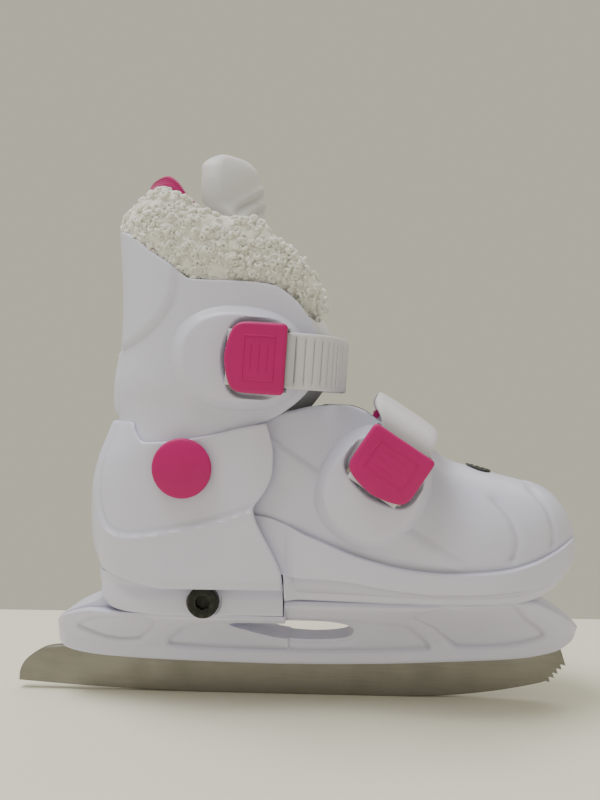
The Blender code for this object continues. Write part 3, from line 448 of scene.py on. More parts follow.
def brushed(name, colour, dark, roughness, stretch, line_depth, stains=0.5):
    """Ground or plated steel: fine lines one way, cloudy stains and a few deeper scratches."""
    look = Look(name, colour, roughness, 1.0, Anisotropic=0.45)
    lines = look.noise(1.0, 5, 0.7, stretch)
    cloud = look.noise(55, 5, 0.6)
    look.mix(look.ramp(cloud, 0.42, 0.7, 0.0, stains), dark)
    look.mix(look.ramp(lines, 0.4, 0.75, 0.0, 0.35), dark)
    scratches = look.ramp(look.noise(1.0, 2, 0.5, tuple(s * 0.35 for s in stretch)), 0.68, 0.74)
    look.roughness(look.maths("ADD", look.ramp(lines, 0.25, 0.75, roughness - 0.1, roughness + 0.12),
                              look.ramp(cloud, 0.4, 0.7, 0.0, 0.12)))
    look.bump(lines, line_depth, 0.8)
    look.bump(scratches, line_depth, 0.5)
    return look.done()


def cloth(name, colour, dark, pitch, depth, pile, sheen=0.4):
    """Knit or woven cloth: threads both ways at a pitch in mm, and a brushed pile."""
    look = Look(name, colour, 0.92, Sheen_Weight=sheen, Sheen_Roughness=0.5, Specular_IOR_Level=0.2)
    scale = 1 / (pitch * MM) / 3.2
    across = look.wave(scale, "X", 0.8)
    upright = look.wave(scale, "Z", 0.8)
    weave = look.maths("MULTIPLY", across, upright)
    fuzz = look.noise(1800, 4, 0.65)
    look.mix(look.ramp(weave, 0.0, 0.5, 0.55, 0.0), dark)
    look.mix(look.ramp(look.noise(90, 4), 0.4, 0.75, 0.0, 0.4), dark)
    look.bump(weave, depth, 0.9)
    look.bump(fuzz, pile, 0.9)
    look.roughness(look.ramp(fuzz, 0.3, 0.7, 0.85, 0.98))
    return look.done()


def pile(name, colour, shade, glow):
    """Curly fleece: each curl is geometry, so the material adds fibres, shade between curls and sheen."""
    look = Look(name, colour, 0.95, Sheen_Weight=0.7, Sheen_Roughness=0.6, Specular_IOR_Level=0.15,
                Subsurface_Weight=0.3, Subsurface_Radius=(1.0, 1.0, 1.0), Subsurface_Scale=0.0015)
    look.mix(look.ramp(look.noise(120, 4, 0.6), 0.4, 0.72, 0.0, 0.55), shade)
    look.mix(look.ramp(look.noise(520, 3, 0.6), 0.5, 0.7, 0.0, 0.45), glow)
    fibres = look.noise(2200, 4, 0.7, (1.0, 1.0, 0.4), 1.5)
    look.bump(fibres, 0.14, 0.9)
    look.bump(look.cells(900), 0.1, 0.6)
    look.roughness(look.ramp(fibres, 0.3, 0.7, 0.88, 1.0))
    return look.done()


def blackened(name, colour, worn):
    """Black-oxide steel with its edges rubbed lighter."""
    look = Look(name, colour, 0.42, 0.7)
    look.mix(look.ramp(look.pointiness(), 0.52, 0.6, 0.0, 0.6), worn)
    look.mix(look.ramp(look.noise(500, 3), 0.5, 0.75, 0.0, 0.35), worn)
    look.roughness(look.ramp(look.noise(900, 3), 0.3, 0.7, 0.34, 0.55))
    look.bump(look.noise(2500, 3), 0.02, 0.7)
    return look.done()


# The third colour of each moulding is the painted shade laid into its hollows.
WHITE = moulded("white_moulding", (0.67, 0.67, 0.83), (0.64, 0.635, 0.80), (0.44, 0.43, 0.54), 0.36, 0.012, 0.12)
STRAP = moulded("white_strap", (0.69, 0.69, 0.76), (0.66, 0.655, 0.73), (0.40, 0.40, 0.46), 0.42, 0.018)
TONGUE = moulded("tongue_moulding", (0.66, 0.665, 0.68), (0.60, 0.60, 0.63), (0.42, 0.42, 0.44), 0.5, 0.03)
BELLOWS = moulded("bellows_rubber", (0.68, 0.68, 0.72), (0.62, 0.62, 0.66), (0.40, 0.40, 0.43), 0.55, 0.03)
PINK = moulded("pink_moulding", (0.50, 0.0008, 0.155), (0.43, 0.0008, 0.13), (0.22, 0.0005, 0.06), 0.5, 0.01, 0.0)
BLADE = brushed("ground_steel", (0.27, 0.26, 0.235), (0.21, 0.20, 0.175), 0.40, (60.0, 900.0, 2600.0), 0.012, 0.35)
ZINC = brushed("zinc_plate", (0.42, 0.41, 0.39), (0.22, 0.21, 0.20), 0.28, (900.0, 900.0, 300.0), 0.006, 0.35)
BLACK_STEEL = blackened("black_oxide", (0.020, 0.022, 0.020), (0.10, 0.10, 0.09))
BLACK_PLASTIC = moulded("black_moulding", (0.03, 0.032, 0.026), (0.06, 0.06, 0.045), (0.01, 0.01, 0.01), 0.5, 0.02)
FLEECE = pile("cream_fleece", (0.88, 0.86, 0.80), (0.76, 0.74, 0.68), (0.94, 0.93, 0.88))
PINK_CLOTH = cloth("pink_knit", (0.55, 0.012, 0.19), (0.28, 0.004, 0.09), 0.9, 0.16, 0.1)
GREY_KNIT = cloth("grey_knit", (0.36, 0.36, 0.37), (0.20, 0.20, 0.21), 1.0, 0.2, 0.12)
INSOLE_WEAVE = cloth("insole_weave", (0.22, 0.22, 0.24), (0.10, 0.10, 0.11), 1.3, 0.25, 0.08, 0.2)


# ---------------------------------------------------------------- toe shell

TIP_FROM = 60.0                # from here the outline turns down to the tip in a quarter ellipse
TIP_REACH = 60.0
SOLE_Z = 46.6
THROAT_X = 57.5                # front end of the foot's opening
HEEL_FLOOR_TOP = 56.3


def spine(x):
    x = np.asarray(x, float)
    ahead = TIP_REACH * np.arcsin(np.clip((x - TIP_FROM) / TIP_REACH, 0, 1))
    return np.where(x < TIP_FROM, x - TIP_FROM, ahead)


def spine_x(s):
    return TIP_FROM + np.where(s < 0, s, TIP_REACH * np.sin(np.clip(s, 0, None) / TIP_REACH))


def toe_curve(knots, soft=6.0):
    own = curve([(float(spine(x)), value) for x, value in knots], soft)
    return lambda x: own(spine(x))


PLAN = toe_curve([(-62, 30.6), (-45, 31.2), (-20, 31.8), (0, 33.0), (20, 35.6), (42, 38.8), (60, 40.2),
                  (76, 39.4), (90, 35.8), (102, 29.4), (110, 22.6), (116, 14.4), (119, 7.2), (120, 0.0)])
RIM_Z = toe_curve([(-62, 84), (-10, 80.8), (10, 72.8), (32, 64.9), (48, 61.5), (65, 60.1), (84, 60.9),
                   (98, 63.5), (108, 67.0), (116, 70.0), (120, 70.8)])
BAND_LOW = toe_curve([(-62, 60), (-6, 60), (2, 57.2), (21, 56), (45, 52.8), (60, 51.7), (75, 51.9),
                      (90, 52.8), (104, 54.4), (113, 57.4), (117.5, 61.5), (120, 68.3)], 3)
SOLE_FRONT = toe_curve([(-62, SOLE_Z), (88, SOLE_Z), (98, 47.6), (106, 50.6), (113, 55.2), (117.5, 60.5),
                        (120, 67.5)], 3)
TOP_Z = toe_curve([(-62, 218), (-30, 190), (0, 165), (20, 144), (34, 130), (45, 120.5), (54, 112.5),
                   (61, 106.6), (68, 101.6), (78, 98.8), (88, 95.9), (98, 93.4), (106, 90.8), (112, 86.6),
                   (116, 81.2), (119, 74.6), (120, 71.0)])
EDGE_Z = curve([(-62, 112), (-30, 120), (0, 123.0), (12, 125.2), (24, 125.4), (31, 123.4), (38, 118.5),
                (46, 114.6), (53, 111.6), (58, 109.6)], 3.0)

TOE_ARCS = [
    rounded([(79.5, 89.5), (82.4, 86.8), (87.4, 81.1), (90.5, 73.4), (89.3, 67.6), (85.5, 62.5)]),
    rounded([(96.5, 91.5), (100.2, 89.5), (104.5, 83.5), (106.5, 75.5), (105.3, 67.5), (103.3, 63.5)]),
]
TOE_CREASE = rounded([(-10, 113.5), (-6.3, 111.2), (12.8, 98.1), (30, 87.2), (47, 77.2), (66, 65.1), (71, 62.3)])


def toe_relief(x, z):
    """Height of the moulded lines on the toe shell's sides, in mm."""
    height = np.zeros(np.shape(x))
    for line in TOE_ARCS:
        gap, share = from_line(line, x, z)
        ends = step_up(share, 0.0, 0.25) * step_up(1 - share, 0.0, 0.2)
        dip = step_up(gap, -1.6, 0.3) * (1 - step_up(gap, 0.6, 3.2))
        fall = step_up(gap, -0.5, 2.5) * (1 - step_up(gap, 3.0, 13.0))
        height -= ends * (0.95 * dip + 0.4 * fall)
    gap, share = from_line(TOE_CREASE, x, z)
    ends = step_up(share, 0.0, 0.12) * step_up(1 - share, 0.0, 0.15)
    height += ends * 0.95 * (1 - step_up(gap, -0.9, 0.9)) * (1 - step_up(-gap, 1.0, 13.0))
    return height


def toe_half(x, inset):
    """(y, z) rows from the middle of the sole out, round the welt and up to the opening or the top."""
    plan = np.maximum(PLAN(x) - inset, 0.0)
    under_heel = x < -1.05
    sole = np.where(under_heel, HEEL_FLOOR_TOP + 0.7, SOLE_FRONT(x)) + inset
    low = np.maximum(BAND_LOW(x), sole + 0.6)
    rim = np.maximum(RIM_Z(x), low + 1.0)
    top = np.maximum(TOP_Z(x) - inset, rim + 0.2)
    fore = step_up(x, -1, 5) * step_up(plan, 0, 12)
    proud = 0.0 if inset else 1.9 * fore
    tuck = 0.0 if inset else 3.4 * fore
    flat = np.zeros_like(x)
    waist = np.maximum(plan - tuck, plan * 0.6)
    stops = [
        (flat, sole), (waist * 0.6, sole), (waist * 0.93, sole + 0.15), (waist, sole + 0.5 * (low - sole)),
        (waist + 0.3, low - 0.1), (plan + proud * 0.4, low + 0.25), (plan + proud * 0.95, low + 1.3),
        (plan + proud, rim - 1.3), (plan + proud * 0.86, rim - 0.35), (plan + proud * 0.42, rim + 0.05),
    ]
    reach = top - rim
    open_here = x < THROAT_X
    last = np.where(open_here, np.clip((EDGE_Z(x) - rim) / reach, 0, 0.9999), 1.0)
    first = np.arcsin(np.clip(0.35 / reach, 0, 0.9) ** 1.15)
    end = np.arcsin(last**1.15)
    share = np.linspace(0, 1, 60)[None]
    angle = first[:, None] + (end - first)[:, None] * share
    arc_y = np.maximum(plan - (0.0 if inset else 0.9), 0)[:, None] * np.cos(angle)
    arc_z = rim[:, None] + reach[:, None] * np.sin(angle) ** (1 / 1.15)
    stops += [(arc_y[:, 0], arc_z[:, 0]), (arc_y[:, 1], arc_z[:, 1])]
    way = np.stack([np.stack(stop, -1) for stop in stops], 1)
    parts = []
    for k, count in enumerate((4, 3, 3, 3, 3, 3, 5, 3, 3, 3)):
        a, b, c, d = way[:, max(k - 1, 0)], way[:, k], way[:, k + 1], way[:, k + 2]
        for t in np.arange(count) / count:
            parts.append(0.5 * (2 * b + (c - a) * t + (2 * a - 5 * b + 4 * c - d) * t**2
                                + (3 * b - a - 3 * c + d) * t**3))
    low_part = np.stack(parts, 1)
    arc = np.stack([arc_y, arc_z], -1)
    return np.concatenate([low_part, arc], 1)


def toe_grid(x, inset, back=0.0):
    half = toe_half(x, inset)
    own = np.broadcast_to((x - back)[:, None], half.shape[:2])
    side = np.stack([own, half[..., 0], half[..., 1]], -1)
    if not inset:
        above = side[..., 2] - RIM_Z(x)[:, None]
        lift = toe_relief(side[..., 0], side[..., 2]) * step_up(above, 0.8, 4.0)
        normal = grid_normals(side)
        outward = np.sign(normal[..., 1:2] * side[..., 1:2] + 1e-9)
        steady = np.abs(normal[..., 1:2]) + np.abs(normal[..., 2:3]) > 0.05
        side = side + normal * outward * lift[..., None] * steady
    return side


def mirrored(side):
    """Both sides of the boot from one, joined along the sole."""
    other = side[:, :0:-1] * np.array([1.0, -1.0, 1.0])
    return np.concatenate([other, side], 1)


def toe_rows(first_x):
    rows = np.arange(float(spine(first_x)), float(spine(119.98)), 1.25)
    return np.sort(np.concatenate([spine_x(rows), [-1.25, -0.85, 119.98]]))


def make_toe_shell():
    x = toe_rows(-50.0)
    outer = toe_grid(x, 0.0)
    inner = toe_grid(x, WALL, WALL * np.clip((x - 90) / 30, 0, 1))
    edge = np.linalg.norm(outer - outer[:, -1:], axis=2) + np.where(x > THROAT_X - 0.4, 99.0, 0.0)[:, None]
    draw = lip(edge, WALL)[..., None] / WALL
    across = inner - outer
    piece("toe_shell_body", *two_skins(mirrored(outer + across * draw), mirrored(inner - across * draw)),
          WHITE, "base", "shell_white", ["toe_shell"])


# ---------------------------------------------------------------- heel shell and cuff

BACK_X = curve([(40, -82.4), (50, -82.8), (57, -84.2), (63, -86.4), (70, -87.9), (80, -88.3), (90, -88.0),
                (97, -86.9), (104, -85.0), (112, -81.6), (119, -78.6)])
LOBE_FRONT = curve([(50, -1.8), (57, -1.6), (63, -3.6), (68, -6.0), (74, -9.2), (80, -11.9), (84.5, -12.8),
                    (88, -10.4), (93, -7.2), (99, -5.2), (106, -4.9), (113, -6.0), (119, -8.0)], 2.0)
HEEL_HALF = curve([(50, 36.2), (60, 36.5), (80, 37.2), (100, 37.2), (119, 37.3)])
HEEL_TOP = curve([(-90, 119.0), (-72, 118.8), (-68.5, 115.0), (-62, 110.6), (-54, 110.8), (-36, 113.3),
                  (-20, 116.6), (-8, 118.2)], 3.0)
HEEL_LOW = 51.6
HEEL_SLIM = 1.6                # how much fuller the solids' corners are than the moulded back
BEND = 0.55                    # share of a plan arc's parameter that is its rounded back


def plan_arc(front, back, half, s, lean=1.0, power=2.3):
    """A U in plan: s runs from -1 at the near front end to 1 at the far one."""
    centre = back + half * 1.05
    t = np.clip((np.abs(s) - BEND) / (1 - BEND), 0, 1)
    a = np.clip(np.abs(s) / BEND, 0, 1) * np.pi / 2
    round_x = centre - (centre - back) * np.abs(np.cos(a)) ** (2 / power)
    round_y = half * np.sin(a) ** (2 / power)
    straight = np.abs(s) > BEND
    x = np.where(straight, centre + (front - centre) * t, round_x)
    y = np.where(straight, half * (1 - (1 - lean) * t**2), round_y)
    return x, np.sign(s) * y


def u_columns(round_count, straight_count, length):
    """Values of s for a U-shaped wall: even round the back, crowded at the two front lips."""
    ends = 1 - edge_spaced(straight_count, length)[::-1]
    ends = ends[: straight_count + 4 - 4]
    t = np.linspace(0, 1, straight_count)
    lipped = np.concatenate([t[:-1] * (1 - 1.4 / length), 1 - np.array([1.4, 0.85, 0.4, 0.12, 0.0]) / length])
    straight = BEND + (1 - BEND) * lipped
    angle = np.linspace(0, 1, round_count)[:-1]
    half = np.concatenate([BEND * angle, straight])
    return np.concatenate([-half[:0:-1], half])


def wall_skins(columns, rows, place, wall, relief, low_lip=True, high_lip=True, side_length=60.0):
    """Outer and inner grids of a U-shaped shell with half-round lips. place(v, s, inset) gives points."""
    v, s = np.meshgrid(rows, columns, indexing="ij")
    outer = place(v, s, 0.0)
    if relief is not None:
        normal = grid_normals(outer)
        away = np.sign((normal[..., 1] * outer[..., 1] + normal[..., 0] * (outer[..., 0] + 35) * 0.6)[..., None])
        outer = outer + normal * away * relief(outer[..., 0], outer[..., 2], s)[..., None]
    inner = place(v, s, wall)
    gap = (1 - np.clip((np.abs(s) - BEND) / (1 - BEND), 0, 1)) * side_length
    if low_lip:
        gap = np.minimum(gap, np.linalg.norm(outer - outer[:1], axis=2))
    if high_lip:
        gap = np.minimum(gap, np.linalg.norm(outer - outer[-1:], axis=2))
    draw = lip(gap, wall)[..., None] / wall
    across = inner - outer
    return outer + across * draw, inner - across * draw


HEEL_CREASE = rounded([(2, 88.5), (-5, 86.8), (-13.9, 84), (-24.4, 80.5), (-34.5, 77.8), (-54.8, 74), (-65, 73.1),
                       (-71.2, 73.8), (-75.7, 77), (-78.6, 84), (-79.6, 93), (-78.4, 103), (-75.4, 112), (-72, 122)])


def heel_relief(x, z, s):
    gap, _ = from_line(HEEL_CREASE, x, z)
    panel = -1.25 + 1.25 * step_up(gap, -0.9, 1.1)
    bead = 0.35 * np.exp(-((gap - 1.3) / 1.1) ** 2)
    under = -0.9 * (1 - step_up(z, HEEL_LOW, HEEL_LOW + 3.5))
    return (panel + bead) * step_up(z, HEEL_LOW, HEEL_LOW + 4) + under


def heel_place(v, s, inset):
    near_x = plan_arc(-8, -84, 36, s)[0]
    low = HEEL_LOW + 4.4 * (1 - step_up(near_x, -80, -52))
    z = low + v * (HEEL_TOP(near_x) - low)
    x, y = plan_arc(LOBE_FRONT(z), BACK_X(z) + HEEL_SLIM + inset, HEEL_HALF(z) - inset, s)
    return np.stack([x, y, z], -1)


def saddle_rings():
    """Block under the heel that straddles the chassis rail, its lower rear corner rounded."""
    corner = 7.0
    low, high = 40.4, 56.2
    s = np.linspace(-1, 1, 61)
    heights = np.concatenate([low + 0.7 * (1 - np.cos(np.linspace(0, np.pi / 2, 5))),
                              np.linspace(low + 1.0, high, 22)])
    rings = []
    for z in heights:
        up = np.clip((z - low) / corner, 0, 1)
        drawn = corner * (1 - math.sqrt(1 - (1 - up) ** 2))
        edge = 0.7 * (1 - math.sqrt(1 - (1 - min((z - low) / 0.7, 1.0)) ** 2))
        hollow = 1.1 * math.exp(-((z - 51.5) / 3.4) ** 2)
        x, y = plan_arc(-1.6, -82.8 + drawn * 0.9 + edge, 30.6 - edge - hollow, s, 1.0, 2.6)
        rings.append(np.stack([x, y, np.full_like(x, z)], -1))
    return np.array(rings)


def box_shape(x0, x1, y0, y1, z0, z1):
    ring = [(y0, z0), (y1, z0), (y1, z1), (y0, z1)]
    return rings_solid([[(x, y, z) for y, z in ring] for x in (x0, x1)])


def make_heel_shell():
    columns = u_columns(44, 46, 56.0)
    rows = edge_spaced(46, 62.0)
    piece("heel_shell_body", *two_skins(*wall_skins(columns, rows, heel_place, WALL, heel_relief, side_length=56.0)),
          WHITE, "heel", "shell_white", ["heel_shell"])
    saddle = piece("heel_saddle", *rings_solid(saddle_rings()), WHITE, "heel", "shell_white", sharp=50)
    cut_away(saddle, *box_shape(-95, 10, -17.5, 17.5, 30, 51.7))
    seat = [(7.3, -50), (7.3, -30.0)]
    cut_away(saddle, *turned(seat, CLAMP.x, CLAMP.z, 48))
    soften(saddle, 0.35, 2, 50)
    s = np.linspace(-1, 1, 61)
    x, y = plan_arc(-1.6, -82.0, 34.2, s)
    floor = [np.stack([x, y, np.full_like(x, z)], -1) for z in (HEEL_LOW + 1.4, HEEL_FLOOR_TOP)]
    soften(piece("heel_floor", *rings_solid(floor), WHITE, "heel", "shell_white", sharp=50), 0.4)


CUFF_BACK = curve([(86, -80.0), (100, -81.5), (106, -80.6), (113, -77.2), (119, -74.9), (126, -75.4),
                   (134, -75.6), (150, -74.3), (172, -74.2), (190, -75.0), (203, -76.0)], 8)
CUFF_HALF = curve([(86, 34.0), (124, 34.1), (134, 36.8), (155, 38.0), (176, 37.0), (203, 34.0)], 10)
CUFF_TOP = curve([(-90, 202.5), (-74, 199.0), (-65, 194.0), (-59, 188.2), (-48, 180.0), (-44, 176.2),
                  (-38, 175.6), (-27, 175.2), (-15, 174.5), (-6, 173.0), (0, 169.6), (5, 165.3), (9, 160.0),
                  (13, 154.0)], 2.5)
CUFF_LOW = curve([(-90, 103.0), (-70, 101.0), (-60, 92.0), (-52, 88.2), (-41, 86.8), (-31, 88.6), (-24, 96.0),
                  (-18, 110.0), (-12, 117.0), (-6, 119.6), (2, 124.6), (9, 131.4), (13, 139.0)], 4)
CUFF_FRONT_X = 12.8
CUFF_LEAN = 0.86
CUFF_PANEL = rounded([(-84, 144.5), (-76, 147.0), (-70, 149.4), (-64.5, 151.2), (-58.4, 154.3), (-52.3, 158.7),
                      (-47.9, 164.3), (-45.4, 169.4), (-44.6, 175.4), (-44.5, 184)])
CUFF_SPINE = rounded([(-71.5, 100), (-71.8, 112), (-72.0, 125), (-71.4, 138), (-69.5, 149), (-68, 156)])


def cuff_relief(x, z, s):
    panel, _ = from_line(CUFF_PANEL, x, z)
    spine_gap, _ = from_line(CUFF_SPINE, x, z)
    raised = 1.15 * step_up(panel, -1.0, 1.0)
    back = 1.7 * step_up(spine_gap, -0.6, 1.6) * (1 - step_up(panel, -2.0, 1.0)) * step_up(z, 119.5, 125)
    return raised + back


def cuff_place(v, s, inset):
    near_x = plan_arc(CUFF_FRONT_X, -76, 36, s)[0]
    low, high = CUFF_LOW(near_x), CUFF_TOP(near_x)
    z = low + v * (high - low)
    back = CUFF_BACK(z) + 2.4 * step_up(z, 120, 165)
    x, y = plan_arc(CUFF_FRONT_X, back + inset, CUFF_HALF(z) - inset, s, CUFF_LEAN)
    return np.stack([x, y, z], -1)


def cuff_side(x, z):
    """Half-width of the cuff's outer face."""
    back, half = CUFF_BACK(z), CUFF_HALF(z)
    centre = back + half * 1.05
    t = np.clip((x - centre) / (CUFF_FRONT_X - centre), 0, 1.3)
    behind = np.clip((centre - x) / (centre - back), 0, 1)
    return half * (1 - (1 - CUFF_LEAN) * t**2) * (1 - behind**2.3) ** (1 / 2.3)


def toe_side(x, z):
    """Half-width of the toe shell above its rim."""
    low, high = RIM_Z(x), TOP_Z(x)
    t = np.clip((z - low) / (high - low), 0, 1)
    return (PLAN(x) - 0.8) * np.sqrt(1 - t**2.3)


def make_cuff():
    columns = u_columns(60, 70, 72.0)
    rows = edge_spaced(90, 75.0)
    piece("cuff_body", *two_skins(*wall_skins(columns, rows, cuff_place, CUFF_WALL, cuff_relief, side_length=72.0)),
          WHITE, "cuff", "shell_white", ["cuff"])


# ---------------------------------------------------------------- raised seats for the buckles

POD_POWER = 2.3
POCKET_FLOOR = 38.3


def make_pod(name, kind, body, surface, centre, radii, face, side, pocket):
    """Raised oval moulded onto a shell, with a rounded shoulder, a flared foot and a buckle pocket."""
    seat = SEATS[kind]
    pitch = 0.45
    u0, w0 = seat.local(*map(np.array, centre))
    ru, rw = radii
    u = np.arange(u0 - ru * 1.14, u0 + ru * 1.14, pitch)
    w = np.arange(w0 - rw * 1.14, w0 + rw * 1.14, pitch)
    u, w = np.meshgrid(u, w, indexing="ij")
    reach = (np.abs((u - u0) / ru) ** POD_POWER + np.abs((w - w0) / rw) ** POD_POWER) ** (1 / POD_POWER)
    flat = seat.world(u, 0.0, w)
    shell = surface(flat[..., 0], flat[..., 2])
    crown = face - 1.5 * reach**2.4
    outer = crown + (shell - 0.45 - crown) * step_up(reach, 0.78, 1.05)
    if pocket:
        hole = inside(lever_outline(60), u, w) + 1.5
        hole = np.where(u > 0, np.maximum(hole, 13.2 - np.abs(w)), hole)
        floor = np.minimum(outer, POCKET_FLOOR)
        outer = outer + (floor - outer) * step_up(hole, -1.0, 0.45)
    inner = np.minimum(shell - 1.3, outer - 0.7)
    keep = reach < 1.09
    cells = keep[:-1, :-1] & keep[1:, :-1] & keep[1:, 1:] & keep[:-1, 1:]
    index = np.arange(u.size).reshape(u.shape)
    a, b, c, d = index[:-1, :-1][cells], index[1:, :-1][cells], index[1:, 1:][cells], index[:-1, 1:][cells]
    front = np.stack([a, b, c, d], -1)
    back = front[:, ::-1] + u.size
    edges = np.concatenate([front[:, [k, (k + 1) % 4]] for k in range(4)])
    key = np.sort(edges, 1)
    _, first, count = np.unique(key, axis=0, return_index=True, return_counts=True)
    rim = edges[first[count == 1]]
    strips = np.stack([rim[:, 1], rim[:, 0], rim[:, 0] + u.size, rim[:, 1] + u.size], -1)
    points = []
    for depth in (outer, inner):
        grid = flat.copy()
        grid[..., 1] = side * depth
        points.append(grid.reshape(-1, 3))
    faces = np.concatenate([front, back, strips])
    made = piece(name, np.concatenate(points), faces, WHITE, body, "shell_white", sharp=60)
    loose = bmesh.new()
    loose.from_mesh(made.data)
    bmesh.ops.delete(loose, geom=[v for v in loose.verts if not v.link_faces], context="VERTS")
    loose.to_mesh(made.data)
    loose.free()


def make_pods():
    make_pod("ankle_buckle_seat", "ankle", "cuff", cuff_side, (-18.5, 144.2), (27.0, 20.8), 42.4, NEAR, True)
    make_pod("instep_buckle_seat", "instep", "base", toe_side, (34.6, 93.0), (23.8, 21.6), 42.4, NEAR, True)
    make_pod("ankle_clip_seat", "ankle", "cuff", cuff_side, (-9.0, 143.6), (17.0, 17.0), 38.3, FAR, False)
    make_pod("instep_clip_seat", "instep", "base", toe_side, (37.3, 97.4), (16.5, 15.5), 38.3, FAR, False)


# ---------------------------------------------------------------- blade and chassis

BLADE_HALF = 2.0


def make_blade():
    """Ground plate with a long shallow rocker, five toe picks and broken edges."""
    rocker_x = np.linspace(-121.3, 106.0, 60)
    rise_back = 3.6 * np.clip((-30 - rocker_x) / 91.3, 0, 1) ** 1.7
    rise_front = 7.2 * np.clip((rocker_x - 38) / 68, 0, 1) ** 2.3
    edge = list(zip(rocker_x, rise_back + rise_front))
    picks = []
    for x, z in [(108.2, 5.9), (110.0, 7.7), (111.6, 9.5), (113.2, 11.3), (114.9, 13.0)]:
        picks += [(x - 0.5, z + 1.9), (x - 0.2, z + 2.1), (x + 1.75, z + 1.55)]
    tail = rounded([(-95.0, 19.6), (-107.5, 18.6), (-114.0, 15.9), (-118.6, 12.2), (-120.8, 8.0), (-121.3, 3.6)], 6)
    outline = np.array(edge + picks + [(114.6, 21.4), (108.0, 24.0), (-78.0, 24.0), (-80.5, 20.2)]
                       + tail.tolist())
    outline = outline[np.linalg.norm(np.roll(outline, -1, 0) - outline, axis=1) > 0.15]
    ahead = np.roll(outline, -1, 0) - outline
    behind = outline - np.roll(outline, 1, 0)
    turn = ahead / np.linalg.norm(ahead, axis=1)[:, None] + behind / np.linalg.norm(behind, axis=1)[:, None]
    inward = np.stack([-turn[:, 1], turn[:, 0]], -1)
    inward /= np.maximum(np.linalg.norm(inward, axis=1)[:, None], 1e-6)
    rings = []
    for y, inset in ((-BLADE_HALF, 0.35), (-BLADE_HALF + 0.3, 0.0), (BLADE_HALF - 0.3, 0.0), (BLADE_HALF, 0.35)):
        at = outline + inward * inset
        rings.append(np.stack([at[:, 0], np.full(len(at), y), at[:, 1]], -1))
    piece("blade_plate", *rings_solid(rings), BLADE, "base", "blade_steel", ["blade"], sharp=25)


CHASSIS_LOW = curve([(-103.1, 28.2), (-101.5, 23.4), (-97.0, 20.2), (-90.7, 18.4), (-78, 16.8), (-39, 15.2),
                     (4, 14.7), (38, 15.4), (63, 16.6), (84, 17.8), (97, 19.0), (106, 20.8), (114, 23.6),
                     (119, 26.6), (121.3, 31.0)], 4)
CHASSIS_DECK = curve([(-103.1, 28.6), (-102.3, 31.4), (-99, 34.6), (-92, 37.6), (-83, 39.6), (-40, 39.8),
                      (-2.4, 39.8)], 4)
CHASSIS_HALF = curve([(-103.1, 2.5), (-102.4, 6.5), (-99, 11.6), (-90, 17.4), (-76, 22.5), (-60, 25.5),
                      (-20, 27.0), (10, 28.5), (40, 29.0), (70, 27.0), (90, 23.0), (106, 16.0), (114, 10.8),
                      (119, 6.4), (121.3, 1.6)], 4)
CHASSIS_FRONT_TOP = curve([(-1, 46.2), (92, 46.2), (101, 45.4), (105.5, 43.2), (111.3, 39.7), (116.5, 36.4),
                           (120, 33.4), (121.3, 31.2)], 3)
RAIL_TOP = curve([(-103.1, 28.9), (-101, 33.6), (-92, 39.0), (-83, 42.4), (-76, 46.6), (-70, 50.2),
                  (-64, 51.2), (-1, 51.2)], 4)
WINDOW = rounded([(-22, 35.0), (-4, 35.5), (12, 35.5), (20, 34.6), (25.2, 32.9), (26.8, 30.4), (25.6, 27.9),
                  (21.0, 26.3), (9.4, 25.5), (-4, 26.4), (-13, 28.6), (-19.6, 31.2), (-24.8, 33.6)], 5, True)
CHASSIS_PANELS = [
    rounded([(50.4, 40.1), (59, 32.2), (67.2, 24.8), (72.2, 23.4), (89, 24.2), (99.6, 26.2), (106.4, 29.8),
             (98.5, 37.6), (89.5, 46.3), (76, 47.0)], 4, True),
    rounded([(-53.2, 24.3), (-48.5, 29.4), (-43.0, 33.4), (-30, 36.4), (8, 37.4), (44, 35.4), (53.5, 30.4),
             (59.4, 23.4), (52, 21.9), (8, 20.6), (-46, 21.7)], 4, True),
    rounded([(-92, 31.2), (-84, 35.6), (-73, 37.4), (-58, 37.4), (-55.6, 33.4), (-61.5, 26.8), (-67, 24.4),
             (-78, 24.8), (-87, 27.8)], 4, True),
]


def chassis_relief(x, z):
    depth = np.zeros(np.shape(x))
    for outline in CHASSIS_PANELS:
        depth = np.maximum(depth, step_up(inside(outline, x, z), -0.6, 1.0))
    ring = inside(WINDOW, x, z)
    return 1.5 * depth + 1.0 * step_up(ring, -3.0, 0.0)


